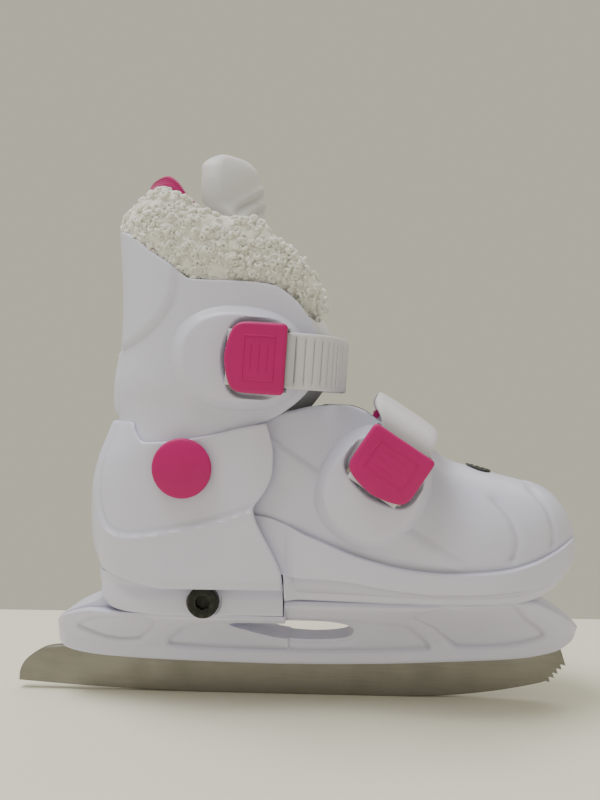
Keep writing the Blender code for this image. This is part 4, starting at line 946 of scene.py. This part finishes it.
def chassis_rows(x, front):
    """Right half of each cross-section, from the foot round the blade up to the deck and the rail."""
    low, half = CHASSIS_LOW(x), CHASSIS_HALF(x)
    deck = CHASSIS_FRONT_TOP(x) - 0.5 if front else CHASSIS_DECK(x)
    top = CHASSIS_FRONT_TOP(x) if front else np.maximum(RAIL_TOP(x), deck + 0.2)
    rise = np.maximum(deck - low, 0.6)
    foot = np.minimum(10.0, half * 0.8)
    waist = np.minimum(10.5, half * 0.8)
    rail = half - 1.4 if front else np.minimum(17.0, half * 0.8)
    stops = [(foot * 0.0, low + 0.4), (foot * 0.6, low + 0.2), (foot * 0.93, low + 0.02 * rise),
             (foot, low + 0.07 * rise), (foot * 0.99, low + 0.16 * rise),
             (waist, low + 0.34 * rise), (waist + (half - waist) * 0.28, low + 0.56 * rise),
             (waist + (half - waist) * 0.68, low + 0.76 * rise), (half - 0.5, low + 0.91 * rise),
             (half - 0.1, low + 0.965 * rise), (half - 0.7, deck), (rail + 0.6, deck + 0.05), (rail, deck + 0.25),
             (rail, top - 0.3), (rail - 0.5, top), (rail * 0.0, top)]
    way = np.stack([np.stack(np.broadcast_arrays(*stop), -1) for stop in stops], 1)
    counts = (3, 2, 2, 2, 6, 8, 8, 6, 3, 3, 3, 2, 4, 2, 3)
    parts = []
    for k, count in enumerate(counts):
        a, b, c = way[:, max(k - 1, 0)], way[:, k], way[:, k + 1]
        d = way[:, min(k + 2, len(stops) - 1)]
        tension = 0.5
        m0, m1 = tension * (c - a), tension * (d - b)
        if k in (0, 11, 12, 13, 14):
            m0 = m1 = c - b
        for t in np.arange(count) / count:
            parts.append(b * (2 * t**3 - 3 * t**2 + 1) + c * (3 * t**2 - 2 * t**3)
                         + m0 * (t**3 - 2 * t**2 + t) + m1 * (t**3 - t**2))
    parts.append(way[:, -1])
    rows = np.stack(parts, 1)
    own = np.broadcast_to(x[:, None], rows.shape[:2])
    side = np.stack([own, rows[..., 0], rows[..., 1]], -1)
    sunk = chassis_relief(side[..., 0], side[..., 2])
    weight = step_up(rows[..., 1], (low + 2.0)[:, None], (low + 4.0)[:, None])
    if front:
        weight = weight * (1 - step_up(rows[..., 1], (top - 0.5)[:, None], top[:, None]))
    else:
        weight = weight * (1 - step_up(rows[..., 1], (deck - 2.2)[:, None], (deck - 0.8)[:, None]))
    side[..., 1] = np.maximum(side[..., 1] - sunk * weight * (side[..., 1] > 3), 0.0)
    return side


def make_chassis():
    rear = np.concatenate([[-103.1, -102.9, -102.4, -101.8], np.arange(-101.0, -1.4, 1.0), [-1.35]])
    front = np.concatenate([[-1.05], np.arange(0.2, 117.0, 1.0), [117.6, 118.8, 119.8, 120.6, 121.1, 121.3]])
    sides = np.concatenate([chassis_rows(rear, False), chassis_rows(front, True)])
    other = sides[:, -2:0:-1] * np.array([1.0, -1.0, 1.0])
    rings = np.concatenate([sides, other], 1)
    made = piece("chassis_body", *rings_solid(rings), WHITE, "base", "shell_white", ["chassis"], sharp=55)
    window = [np.stack([WINDOW[:, 0], np.full(len(WINDOW), y), WINDOW[:, 1]], -1) for y in (-45.0, 45.0)]
    cut_away(made, *rings_solid(window))
    made.data.set_sharp_from_angle(angle=math.radians(50))


# ---------------------------------------------------------------- pivots, screw and small hardware

def make_caps():
    for side, name in ((NEAR, "outer"), (FAR, "inner")):
        profile = [(10.9, 37.4), (11.7, 37.5)]
        profile += arc_profile(10.6, 38.9, 1.4, -40, 68, 9)
        profile += [(9.6, 40.45), (7.0, 41.0), (4.0, 41.3), (1.6, 41.42), (0.3, 41.45)]
        profile = [(radius, side * y) for radius, y in profile]
        piece(f"pivot_cap_{name}_dome", *turned(profile, PIVOT.x, PIVOT.z, 96), PINK, "heel", "pink_plastic",
              [f"pivot_cap_{name}"])


def make_clamp_screw():
    head = [(2.6, 29.0), (2.6, -30.2), (6.1, -30.2), (6.4, -30.5)]
    head += arc_profile(5.6, -33.6, 0.8, 0, -90, 6)
    head += [(4.2, -34.45), (3.5, -34.4), (2.95, -34.1), (2.65, -33.7), (2.6, -31.6), (0.6, -31.2), (0.05, -31.2)]
    hexes = (13, 14)
    piece("size_screw", *turned(head, CLAMP.x, CLAMP.z, 72, hexes), BLACK_STEEL, "clamp_screw", "black_steel",
          ["size_clamp_screw"], sharp=30)


def finish_hardware():
    """CAD nodes that keep their shape get their finish and a small broken edge."""
    steel = ["pivot_rivet_outer", "pivot_rivet_inner", "size_clamp_nut"]
    for kind in SEATS:
        steel += [f"{kind}_{part}" for part in ("buckle_base", "buckle_rivet_lower", "buckle_rivet_upper",
                                                "lever_pin", "pawl_pin", "pawl", "clip_pin")]
    for name in steel:
        obj = frame["nodes"][name]
        obj.data.materials.clear()
        obj.data.materials.append(ZINC)
        soften(obj, 0.15)


def make_springs():
    for kind, body in (("ankle", "cuff"), ("instep", "base")):
        turn = np.linspace(0, 2 * np.pi * 4.5, 100)
        w = np.linspace(8.2, 11.0, 100)
        u = -1.5 + 1.65 * np.cos(turn)
        y = -45.3 + 1.65 * np.sin(turn)
        path = SEATS[kind].world(u, y, w)
        piece(f"{kind}_pawl_coil", *tube(path, 0.26, 8), ZINC, body, "hardware_steel", [f"{kind}_pawl_spring"])


# ---------------------------------------------------------------- levers, clips and straps

LEVER_FACE = -49.5
LEVER_HALF = 13.8


def lever_outline(count=120):
    """(u, w) outline of a lever: straight at the strap end, bowed and full-cornered at the other."""
    corner = rounded([(10.2, -11.8), (9.95, -12.9), (9.25, -13.6), (8.1, -13.8), (0.0, -13.8), (-5.0, -13.75),
                      (-8.3, -13.3), (-10.6, -11.6), (-12.1, -8.2), (-13.1, -4.2), (-13.6, 0.0), (-13.1, 4.2),
                      (-12.1, 8.2), (-10.6, 11.6), (-8.3, 13.3), (-5.0, 13.75), (0.0, 13.8), (8.1, 13.8),
                      (9.25, 13.6), (9.95, 12.9), (10.2, 11.8), (10.2, 4.0), (10.2, -4.0)], 8, True)
    length = np.concatenate([[0], np.cumsum(np.linalg.norm(np.diff(np.vstack([corner, corner[:1]]), axis=0), axis=1))])
    place = np.linspace(0, length[-1], count, endpoint=False)
    ring = np.vstack([corner, corner[:1]])
    return np.stack([np.interp(place, length, ring[:, k]) for k in (0, 1)], -1)


def drawn_in(outline, inset):
    """Outline moved inwards by an inset."""
    ahead = np.roll(outline, -1, 0) - np.roll(outline, 1, 0)
    ahead /= np.linalg.norm(ahead, axis=1)[:, None]
    centre = outline.mean(0)
    inward = np.stack([-ahead[:, 1], ahead[:, 0]], -1)
    inward *= np.sign(((centre - outline) * inward).sum(1))[:, None]
    return outline + inward * inset


def lever_face_y(u, w):
    """Slightly crowned face of a lever."""
    return LEVER_FACE + 0.35 * (u / 13.6) ** 2 + 0.35 * (w / LEVER_HALF) ** 2


def make_levers():
    outline = lever_outline()
    strap_end = step_up(outline[:, 0], 6.5, 9.5)
    for kind, seat in SEATS.items():
        rings = []
        for share in (0.02, 0.25, 0.5, 0.72, 0.86):
            ring = outline * share
            rings.append(seat.world(ring[:, 0], lever_face_y(*ring.T), ring[:, 1]))
        radius = 1.3
        for angle in np.radians([90, 75, 55, 35, 15, 0]):
            ring = drawn_in(outline, radius * (1 - math.cos(angle)))
            y = lever_face_y(*ring.T) + radius * (1 - math.sin(angle))
            rings.append(seat.world(ring[:, 0], y, ring[:, 1]))
        foot = -44.4 - 2.6 * strap_end
        for inset, lift in ((0.0, 0.25), (0.15, 0.05), (0.5, 0.0), (0.85, 0.05), (1.0, 0.25)):
            ring = drawn_in(outline, inset)
            rings.append(seat.world(ring[:, 0], foot - lift, ring[:, 1]))
        for inset, y in ((1.0, -48.1), (1.6, -48.6), (6.0, -48.6)):
            ring = drawn_in(outline, inset)
            rings.append(seat.world(ring[:, 0], np.minimum(y, foot - 0.4), ring[:, 1]))
        shapes = [rings_solid(rings)]
        frame_line = rounded([(-6.0, -7.6), (-5.4, -8.4), (4.6, -8.4), (5.6, -7.4), (5.6, 7.4), (4.6, 8.4),
                              (-5.4, 8.4), (-6.0, 7.6), (-6.0, 0.0)], 10, True)
        frame_line = frame_line[:, ::1]
        path = seat.world(frame_line[:, 0], lever_face_y(*frame_line.T) + 0.05, frame_line[:, 1])
        shapes.append(tube(path, 0.3, 8, closed=True))
        for u in (-3.4, -0.2, 3.0):
            w = np.linspace(-5.6, 5.6, 24)
            swell = 0.34 * np.sqrt(np.maximum(1 - (w / 5.7) ** 8, 0.02))
            path = seat.world(np.full_like(w, u), lever_face_y(u, w) + 0.1, w)
            shapes.append(tube(path, swell, 8))
        piece(f"{kind}_lever_cover", *joined(shapes), PINK, f"{kind}_lever", "pink_plastic", [f"{kind}_lever"])


def make_clips():
    for kind in SEATS:
        obj = frame["nodes"][f"{kind}_strap_clip"]
        obj.data.materials.clear()
        obj.data.materials.append(PINK)
        soften(obj, 0.7, 3, 30)


STRAP_SIDE = 43.0
CREST_U = {"ankle": 33.0, "instep": 22.0}


def strap_line(kind, count=320):
    """(u, y) centre line of a strap's outer face, evenly spaced, and its outward direction."""
    crest, bend, power = CREST_U[kind], 12.0, 2.6
    angle = np.linspace(-np.pi / 2, np.pi / 2, 1200)
    u = bend + (crest - bend) * np.cos(angle) ** (2 / power)
    y = STRAP_SIDE * np.sign(angle) * np.abs(np.sin(angle)) ** (2 / power)
    u = np.concatenate([[-13.6], u, [-13.6]])
    y = np.concatenate([[-STRAP_SIDE], y, [STRAP_SIDE]])
    length = np.concatenate([[0], np.cumsum(np.hypot(np.diff(u), np.diff(y)))])
    place = np.linspace(0, length[-1], count)
    line = np.stack([np.interp(place, length, u), np.interp(place, length, y)], -1)
    ahead = np.gradient(line, axis=0)
    ahead /= np.linalg.norm(ahead, axis=1)[:, None]
    out = np.stack([ahead[:, 1], -ahead[:, 0]], -1)
    return line, out, place, length[-1]


def make_straps():
    half, thick = 11.0, 2.4
    for kind, seat in SEATS.items():
        ladder = kind == "ankle"
        line, out, place, total = strap_line(kind, 520 if ladder else 260)
        pitch = 3.85
        phase = (place / pitch) % 1.0
        tooth = step_up(phase, 0.0, 0.14) * (1 - 0.55 * step_up(phase, 0.3, 1.0)) * (1 - step_up(phase, 0.93, 1.0))
        reach = step_up(place, 14, 18) * (1 - step_up(place, total * 0.66, total * 0.68))
        profile = []
        across = [(-half, 1.9), (-half, 0.9), (-half + 0.25, 0.35), (-half + 0.7, 0.1)]
        across += [(w, 0.0) for w in np.linspace(-half + 1.2, half - 1.2, 15)]
        across += [(half - 0.7, 0.1), (half - 0.25, 0.35), (half, 0.9), (half, 1.9)]
        across += [(half - 0.5, thick), (half * 0.4, thick), (-half * 0.4, thick), (-half + 0.5, thick)]
        for w, depth in across:
            on_ribs = ladder and depth < 0.05 and abs(w) < half - 1.4
            sink = 0.85 * (1 - tooth) * reach * on_ribs
            bulge = 0.5 * (abs(w) / half) ** 3 * (depth < 0.5 and not ladder)
            at = line - out * (depth + sink + bulge)[:, None]
            over = 0.0 if ladder else step_up(line[:, 0], 9.5, 20.0)
            profile.append(seat.world(at[:, 0], at[:, 1], w * (1 + 0.30 * over) + 4.3 * over))
        rings = np.stack(profile, 1)
        piece(f"{kind}_strap_band", *rings_solid(rings), STRAP, f"{kind}_strap", "strap_white",
              [f"{kind}_strap"], sharp=35)


# ---------------------------------------------------------------- soft parts

COLLAR_LOW = curve([(-80, 200.0), (-74, 196.6), (-65, 191.4), (-59, 185.6), (-48, 178.0), (-43, 174.4),
                    (-27, 172.6), (-6, 170.4), (0, 167.4), (5, 163.4), (10, 159.5), (17, 158.0)], 8)
COLLAR_TOP = curve([(-80, 207.0), (-68, 212.0), (-58, 217.0), (-48, 214.6), (-40, 209.0), (-30, 205.4),
                    (-16, 203.0), (-8, 199.6), (0, 193.4), (9, 185.6), (14, 178.0), (17, 172.0)], 8)
COLLAR_BACK = curve([(160, -77.0), (190, -77.0), (205, -75.0), (218, -70.0)])
COLLAR_HALF = curve([(160, 39.0), (176, 39.6), (200, 37.5), (218, 33.0)])


def level(value):
    return lambda z: np.full(np.shape(z), float(value))


def u_wall(front, back, half, lean, low, high, inset, columns, rows):
    """Grid of a U-shaped soft wall; inset(v) is its distance in from the outer surface."""
    v, s = np.meshgrid(rows, columns, indexing="ij")
    near_x = plan_arc(front, back(160.0), half(160.0), s)[0]
    z = low(near_x) + v * (high(near_x) - low(near_x))
    x, y = plan_arc(front, back(z) + inset(v), half(z) - inset(v), s, lean)
    return np.stack([x, y, z], -1)


def puff(obj, voxel, pressure, cap):
    """Swells a padded piece by cloth simulation, then applies it and rounds it once."""
    remesh = obj.modifiers.new("even", "REMESH")
    remesh.mode = "VOXEL"
    remesh.voxel_size = voxel * MM
    apply_modifiers(obj)
    rest = np.empty(len(obj.data.vertices) * 3)
    obj.data.vertices.foreach_get("co", rest)
    rest = rest.reshape(-1, 3)
    cloth_mod = obj.modifiers.new("swell", "CLOTH")
    settings = cloth_mod.settings
    settings.quality = 5
    settings.use_pressure = True
    settings.uniform_pressure_force = pressure
    settings.tension_stiffness = 12
    settings.effector_weights.gravity = 0
    cloth_mod.point_cache.frame_end = 16
    for step in range(1, 17):
        bpy.context.scene.frame_set(step)
    graph = bpy.context.evaluated_depsgraph_get()
    swollen = obj.evaluated_get(graph).to_mesh()
    moved = np.empty(len(rest) * 3)
    swollen.vertices.foreach_get("co", moved)
    shift = moved.reshape(-1, 3) - rest
    length = np.linalg.norm(shift, axis=1)[:, None]
    shift *= np.minimum(1.0, cap * MM / np.maximum(length, 1e-9))
    obj.modifiers.clear()
    bpy.context.scene.frame_set(1)
    obj.data.vertices.foreach_set("co", (rest + shift).ravel())
    smooth = obj.modifiers.new("smooth", "SMOOTH")
    smooth.iterations = 3
    divide = obj.modifiers.new("divide", "SUBSURF")
    divide.levels = divide.render_levels = 1
    apply_modifiers(obj)
    obj.data.shade_smooth()


def surface_points(obj, count, seed):
    """Points spread evenly over a mesh, and its normals there."""
    mesh = obj.data
    mesh.calc_loop_triangles()
    n = len(mesh.loop_triangles)
    corners = np.empty(n * 3, np.int32)
    mesh.loop_triangles.foreach_get("vertices", corners)
    places = np.empty(len(mesh.vertices) * 3)
    mesh.vertices.foreach_get("co", places)
    triangle = places.reshape(-1, 3)[corners.reshape(-1, 3)] / MM
    normal = np.cross(triangle[:, 1] - triangle[:, 0], triangle[:, 2] - triangle[:, 0])
    area = np.linalg.norm(normal, axis=1)
    random = np.random.default_rng(seed)
    pick = random.choice(n, count, p=area / area.sum())
    a, b = random.random((2, count))
    fold = a + b > 1
    a, b = np.where(fold, 1 - a, a)[:, None], np.where(fold, 1 - b, b)[:, None]
    at = triangle[pick, 0] * (1 - a - b) + triangle[pick, 1] * a + triangle[pick, 2] * b
    return at, normal[pick] / np.maximum(area[pick], 1e-9)[:, None], random


def curls(at, normal, random, segments=8, sides=5):
    """Small hooked tufts of wool, all as one set of points and faces."""
    count = len(at)
    other = random.normal(size=(count, 3))
    side = np.cross(normal, other)
    side /= np.linalg.norm(side, axis=1)[:, None]
    up = np.cross(normal, side)
    radius = random.uniform(0.8, 1.7, count)[:, None, None]
    height = random.uniform(0.3, 1.3, count)[:, None, None]
    thick = random.uniform(0.62, 1.0, count)[:, None, None, None]
    turns = random.uniform(0.75, 1.35, count)[:, None, None]
    k = np.linspace(0, 1, segments)[None, :, None]
    angle = 2 * np.pi * turns * k
    swing = radius * (1 - 0.35 * k)
    path = (at[:, None] + side[:, None] * swing * np.cos(angle) + up[:, None] * swing * np.sin(angle)
            + normal[:, None] * (height * np.sin(np.pi * (0.12 + 0.75 * k)) - 0.5))
    ahead = np.gradient(path, axis=1)
    ahead /= np.linalg.norm(ahead, axis=2, keepdims=True)
    across = np.cross(ahead, normal[:, None])
    across /= np.maximum(np.linalg.norm(across, axis=2, keepdims=True), 1e-6)
    rise = np.cross(across, ahead)
    taper = np.sqrt(np.clip(1.05 - (2 * k - 1) ** 4, 0.1, 1))[..., None]
    spoke = np.arange(sides) * 2 * np.pi / sides
    ring = (across[:, :, None] * np.cos(spoke)[None, None, :, None] + rise[:, :, None] * np.sin(spoke)[None, None, :, None])
    points = (path[:, :, None] + ring * thick * taper).reshape(-1, 3)
    one = []
    for i in range(segments - 1):
        for j in range(sides):
            n = (j + 1) % sides
            one.append([i * sides + j, (i + 1) * sides + j, (i + 1) * sides + n, i * sides + n])
    last = (segments - 1) * sides
    caps = [list(range(sides))[::-1], list(range(last, last + sides))]
    size = segments * sides
    faces = [[corner + k * size for corner in face] for k in range(count) for face in one + caps]
    return points, faces


def clump(obj, size, height):
    """Pushes a surface out into soft rounded clumps of a size in mm."""
    mesh = obj.data
    for vertex in mesh.vertices:
        at = vertex.co / (size * MM)
        near, far = noise.voronoi(at)[0][:2]
        swell = math.sqrt(max(0.0, min(1.0, (far - near) * 1.8)))
        swell += 0.35 * noise.noise(at * 2.3)
        vertex.co += vertex.normal * (swell - 0.55) * height * MM
    mesh.update()


def make_collar():
    columns = np.linspace(-0.99, 0.99, 70)
    rows = np.linspace(0, 1, 14)
    fade = lambda v: 2.4 + 2.6 * (1 - step_up(v, 0.0, 0.32)) + 2.2 * v**3
    deep = lambda v: 9.4 - 2.2 * v**3
    shape = (16.5, COLLAR_BACK, COLLAR_HALF, 0.62, COLLAR_LOW, COLLAR_TOP)
    outer = u_wall(*shape, fade, columns, rows)
    inner = u_wall(*shape, deep, columns, rows)
    made = piece("fleece_collar_body", *two_skins(outer, inner), FLEECE, None, "fleece", ["fleece_collar"])
    puff(made, 3.2, 4.0, 2.2)
    clump(made, 5.2, 1.7)
    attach(made, "cuff")
    at, normal, random = surface_points(made, 2300, 11)
    piece("fleece_collar_curls", *curls(at, normal, random), FLEECE, "cuff", "fleece", sharp=80)


def make_liners():
    columns = np.linspace(-1, 1, 110)
    rows = np.linspace(0, 1, 30)
    low = curve([(-80, 107.0), (-64, 118.0), (-41, 124.0), (-20, 128.0), (0, 132.0), (9, 134.5)])
    high = lambda x: CUFF_TOP(x) - 1.4

    def skins(name, front, back, half, lean, low_z, high_z, near, thick, look, body, slot, node, reach=1.0):
        s = columns * reach
        quilt = lambda v: near + 0.35 * np.sin(v * np.pi * 5) ** 2
        outer = u_wall(front, back, half, lean, low_z, high_z, quilt, s, rows)
        inset = near + thick
        plump = lambda v: inset - 0.6 * np.abs(np.sin(v * np.pi * 3)) ** 0.6
        inner = u_wall(front, back, half, lean, low_z, high_z, plump, s, rows)
        gap = np.minimum(np.linalg.norm(outer - outer[:1], axis=2), np.linalg.norm(outer - outer[-1:], axis=2))
        gap = np.minimum(gap, np.linalg.norm(outer - outer[:, :1], axis=2))
        gap = np.minimum(gap, np.linalg.norm(outer - outer[:, -1:], axis=2))
        draw = lip(gap, thick)[..., None] / thick
        across = inner - outer
        made = piece(name, *two_skins(outer + across * draw, inner - across * draw), look, body, slot, node)

    skins("ankle_liner_pad", 6.5, CUFF_BACK, CUFF_HALF, 0.88, low, high, 5.2, 4.0, GREY_KNIT, "cuff", "liner_grey",
          ["ankle_liner"])
    skins("heel_pad_foam", -8, lambda z: BACK_X(z) + 3.3, lambda z: HEEL_HALF(z) - 3.3, 1.0, level(57.4),
          curve([(-90, 95.0), (-60, 84.0)]), 0.1, 3.3, GREY_KNIT, "heel", "liner_grey", ["heel_pad"], 0.33)
    pink_low = curve([(-70, 200.0), (-30, 198.0)])
    pink_high = curve([(-66, 213.0), (-60, 219.6), (-52, 221.4), (-46, 218.4), (-40, 211.0), (-32, 203.0)])
    skins("pink_lining_cloth", -31.0, curve([(190, -65.0), (226, -62.5)]), curve([(190, 26.0), (226, 22.0)]), 1.0,
          pink_low, pink_high, 0.1, 2.4, PINK_CLOTH, "cuff", "pink_cloth", ["pink_lining"], 1.0)


TONGUE_FRONT = curve([(123, 7.0), (130, 12.5), (138, 17.5), (148, 20.0), (165, 12.2), (185, 1.2), (206, -11.4), (217, -12.8), (226, -14.8), (231, -19.0),
                      (233.3, -25.5)], 3)
TONGUE_HALF = curve([(123, 17.0), (148, 21.5), (165, 20.5), (190, 19.0), (212, 18.0), (226, 15.0), (231, 11.5), (233.3, 6.0)], 3)
TONGUE_THICK = curve([(123, 4.5), (148, 6.5), (185, 8.0), (204, 12.0), (212, 20.0), (226, 21.0), (231, 15.0), (233.3, 5.0)], 3)
TONGUE_SAG = curve([(123, 0.42), (196, 0.42), (212, 0.95), (227, 0.95), (233.3, 0.6)], 3)
TONGUE_ARCS = ((219.0, 13.0), (212.5, 11.0))


def crescent(front, half, thick, z, count, relief=None, swept=0.42):
    """Closed section of the tongue or bellows at each height, its sides swept back."""
    s = np.linspace(-1, 1, count)[None]
    front, half, thick, swept = (np.broadcast_to(value, z.shape)[:, None] for value in (front, half, thick, swept))
    sag = swept * half * np.abs(s) ** 2.2
    edge = 1 - 0.62 * np.abs(s) ** 3
    own_z = np.broadcast_to(z[:, None], (len(z), count))
    lift = relief(half * s, own_z) if relief else 0.0
    outer = np.stack([front - sag + lift, half * s + 0 * own_z, own_z], -1)
    inner = np.stack([front - sag - thick * edge, half * s * 0.96 + 0 * own_z, own_z], -1)
    return np.concatenate([outer, inner[:, ::-1]], 1)


def tongue_relief(y, z):
    """Two moulded arches across the top of the tongue, and a dished panel under them."""
    height = np.zeros(np.shape(y))
    for top, fall in TONGUE_ARCS:
        line = top - fall * (np.abs(y) / 18.0) ** 1.8
        gap = z - line
        height += 0.8 * np.exp(-((gap) / 1.5) ** 2) - 0.7 * np.exp(-((gap + 3.2) / 2.0) ** 2)
    return height


def make_tongue():
    z = np.concatenate([np.arange(123, 228, 0.8), np.linspace(228, 233.3, 16)])
    rings = crescent(TONGUE_FRONT(z), TONGUE_HALF(z), TONGUE_THICK(z), z, 61, tongue_relief, TONGUE_SAG(z))
    piece("tongue_moulding", *rings_solid(rings), TONGUE, "cuff", "tongue_white", ["tongue"], sharp=70)


def make_bellows():
    front = curve([(104, 53.0), (112, 45.0), (118, 38.0), (124, 31.0), (130, 24.5), (135, 21.5)])
    half = curve([(104, 9.0), (112, 12.0), (118, 14.5), (124, 17.0), (130, 19.0), (135, 19.0)])
    z = np.linspace(104, 125.7, 150)
    wave = 0.5 + 0.5 * np.cos((z - 104) / 21.7 * 2 * np.pi * 9)
    rings = crescent(front(z) + 0.7 * wave**1.5 - 6.0, half(z) + 0.5 * wave, 4.4 + wave, z, 33)
    piece("instep_bellows_ribs", *rings_solid(rings), BELLOWS, "base", "bellows_white", ["instep_bellows"], sharp=70)


def make_inner_boot():
    x = toe_rows(-56.0)
    x = x[x < 115.0]
    x = x[::2]
    outer = toe_grid(x, WALL + 1.5, (WALL + 1.5) * np.clip((x - 90) / 26, 0, 1))
    inner = toe_grid(x, WALL + 4.2, (WALL + 4.2) * np.clip((x - 90) / 26, 0, 1))
    made = piece("inner_boot_lining", *two_skins(mirrored(outer), mirrored(inner)), GREY_KNIT, "base", "liner_grey",
                 ["inner_boot"])


def make_insole():
    angle = np.linspace(0, 2 * np.pi, 96, endpoint=False)
    x = 18 + 70 * np.cos(angle)
    reach = (PLAN(x) - 9.0) * np.sign(np.sin(angle)) * np.abs(np.sin(angle)) ** 0.6
    rings = []
    for share, z in ((0.985, 65.0), (1.0, 65.4), (1.0, 66.9), (0.985, 67.4), (0.95, 67.6), (0.7, 67.5), (0.35, 67.4),
                     (0.05, 67.4)):
        rings.append(np.stack([18 + (x - 18) * share, reach * share, np.full_like(x, z)], -1))
    piece("insole_board", *rings_solid(rings), INSOLE_WEAVE, "base", "insole_grey", ["insole"], sharp=50)


def make_toe_vent():
    """Dark grille with three bars let into the top of the toe."""
    angle = np.linspace(0, 2 * np.pi, 48, endpoint=False)
    rings = []
    for share, lift in ((1.0, 0.25), (1.0, 0.7), (0.94, 0.95), (0.86, 0.95), (0.82, 0.6), (0.80, 0.3), (0.3, 0.3),
                        (0.03, 0.3)):
        x, y = 80.0 + 5.2 * share * np.cos(angle), 7.5 * share * np.sin(angle)
        rings.append(np.stack([x, y, TOP_Z(x) + lift - 0.010 * y * y], -1))
    shapes = [rings_solid(rings)]
    for x in (77.6, 80.0, 82.4):
        y = np.linspace(-5.4, 5.4, 16)
        shapes.append(tube(np.stack([np.full_like(y, x), y, TOP_Z(x) + 0.6 - 0.010 * y * y], -1), 0.45, 8))
    piece("toe_vent_grille", *joined(shapes), BLACK_PLASTIC, "base", "black_plastic", ["toe_vent"], sharp=50)


# ---------------------------------------------------------------- stage, light and camera

TABLE_BACK = 143.0             # far edge of the table behind the skate
CAMERA_AIM = (3.35, 0.0, 127.5)
CAMERA_TURN = 4.0              # degrees towards the toe
CAMERA_FAR = 392.0
LENS, SENSOR = 54.0, 36.0


def make_stage():
    points = [(-1400, -1400, 0), (1400, -1400, 0), (1400, TABLE_BACK, 0), (-1400, TABLE_BACK, 0)]
    points += [(x, y, -30) for x, y, _ in points]
    faces = [[0, 1, 2, 3], [7, 6, 5, 4]] + [[k, k + 4, (k + 1) % 4 + 4, (k + 1) % 4] for k in range(4)]
    look = Look("pale_table", (0.88, 0.86, 0.73), 0.55)
    look.mix(look.ramp(look.noise(9, 3), 0.35, 0.7, 0.0, 0.5), (0.84, 0.82, 0.69))
    look.bump(look.noise(500, 3), 0.02, 0.5)
    table = piece("table", points, faces, look.done(), None, None)


def area_light(name, place, aim, width, height, power, colour=(1.0, 1.0, 1.0)):
    data = bpy.data.lights.new(name, "AREA")
    data.shape = "RECTANGLE"
    data.size, data.size_y = width, height
    data.energy = power
    data.color = colour
    obj = bpy.data.objects.new(name, data)
    bpy.context.scene.collection.objects.link(obj)
    obj.location = place
    obj.rotation_euler = (Vector(aim) - Vector(place)).to_track_quat("-Z", "Y").to_euler()


def make_light():
    world = bpy.data.worlds.new("room")
    bpy.context.scene.world = world
    world.use_nodes = True
    background = world.node_tree.nodes["Background"]
    background.inputs["Color"].default_value = (0.545, 0.52, 0.41, 1.0)
    background.inputs["Strength"].default_value = 1.0
    area_light("key", (-0.35, -0.10, 1.15), (0, 0, 0.1), 0.8, 0.6, 12.0, (1.0, 0.99, 0.98))
    area_light("fill", (0.6, -1.0, 0.35), (0, 0, 0.1), 0.8, 0.8, 0.5, (0.93, 0.95, 1.0))
    area_light("rim", (0.4, 0.7, 0.9), (0, 0, 0.12), 0.8, 0.5, 1.8)


def make_camera():
    data = bpy.data.cameras.new("camera")
    data.sensor_fit = "HORIZONTAL"
    data.sensor_width = SENSOR
    data.lens = LENS
    data.clip_start = 0.01
    obj = bpy.data.objects.new("camera", data)
    bpy.context.scene.collection.objects.link(obj)
    turn = math.radians(CAMERA_TURN)
    back = Vector((math.sin(turn), -math.cos(turn), 0))
    obj.location = (Vector(CAMERA_AIM) + back * CAMERA_FAR) * MM
    obj.rotation_euler = (-back).to_track_quat("-Z", "Y").to_euler()
    bpy.context.scene.camera = obj


make_camera()
make_stage()
make_light()
make_toe_shell()
make_toe_vent()
make_heel_shell()
make_cuff()
make_pods()
make_blade()
make_chassis()
make_caps()
make_clamp_screw()
finish_hardware()
make_springs()
make_levers()
make_clips()
make_straps()
make_collar()
make_liners()
make_tongue()
make_bellows()
make_inner_boot()
make_insole()
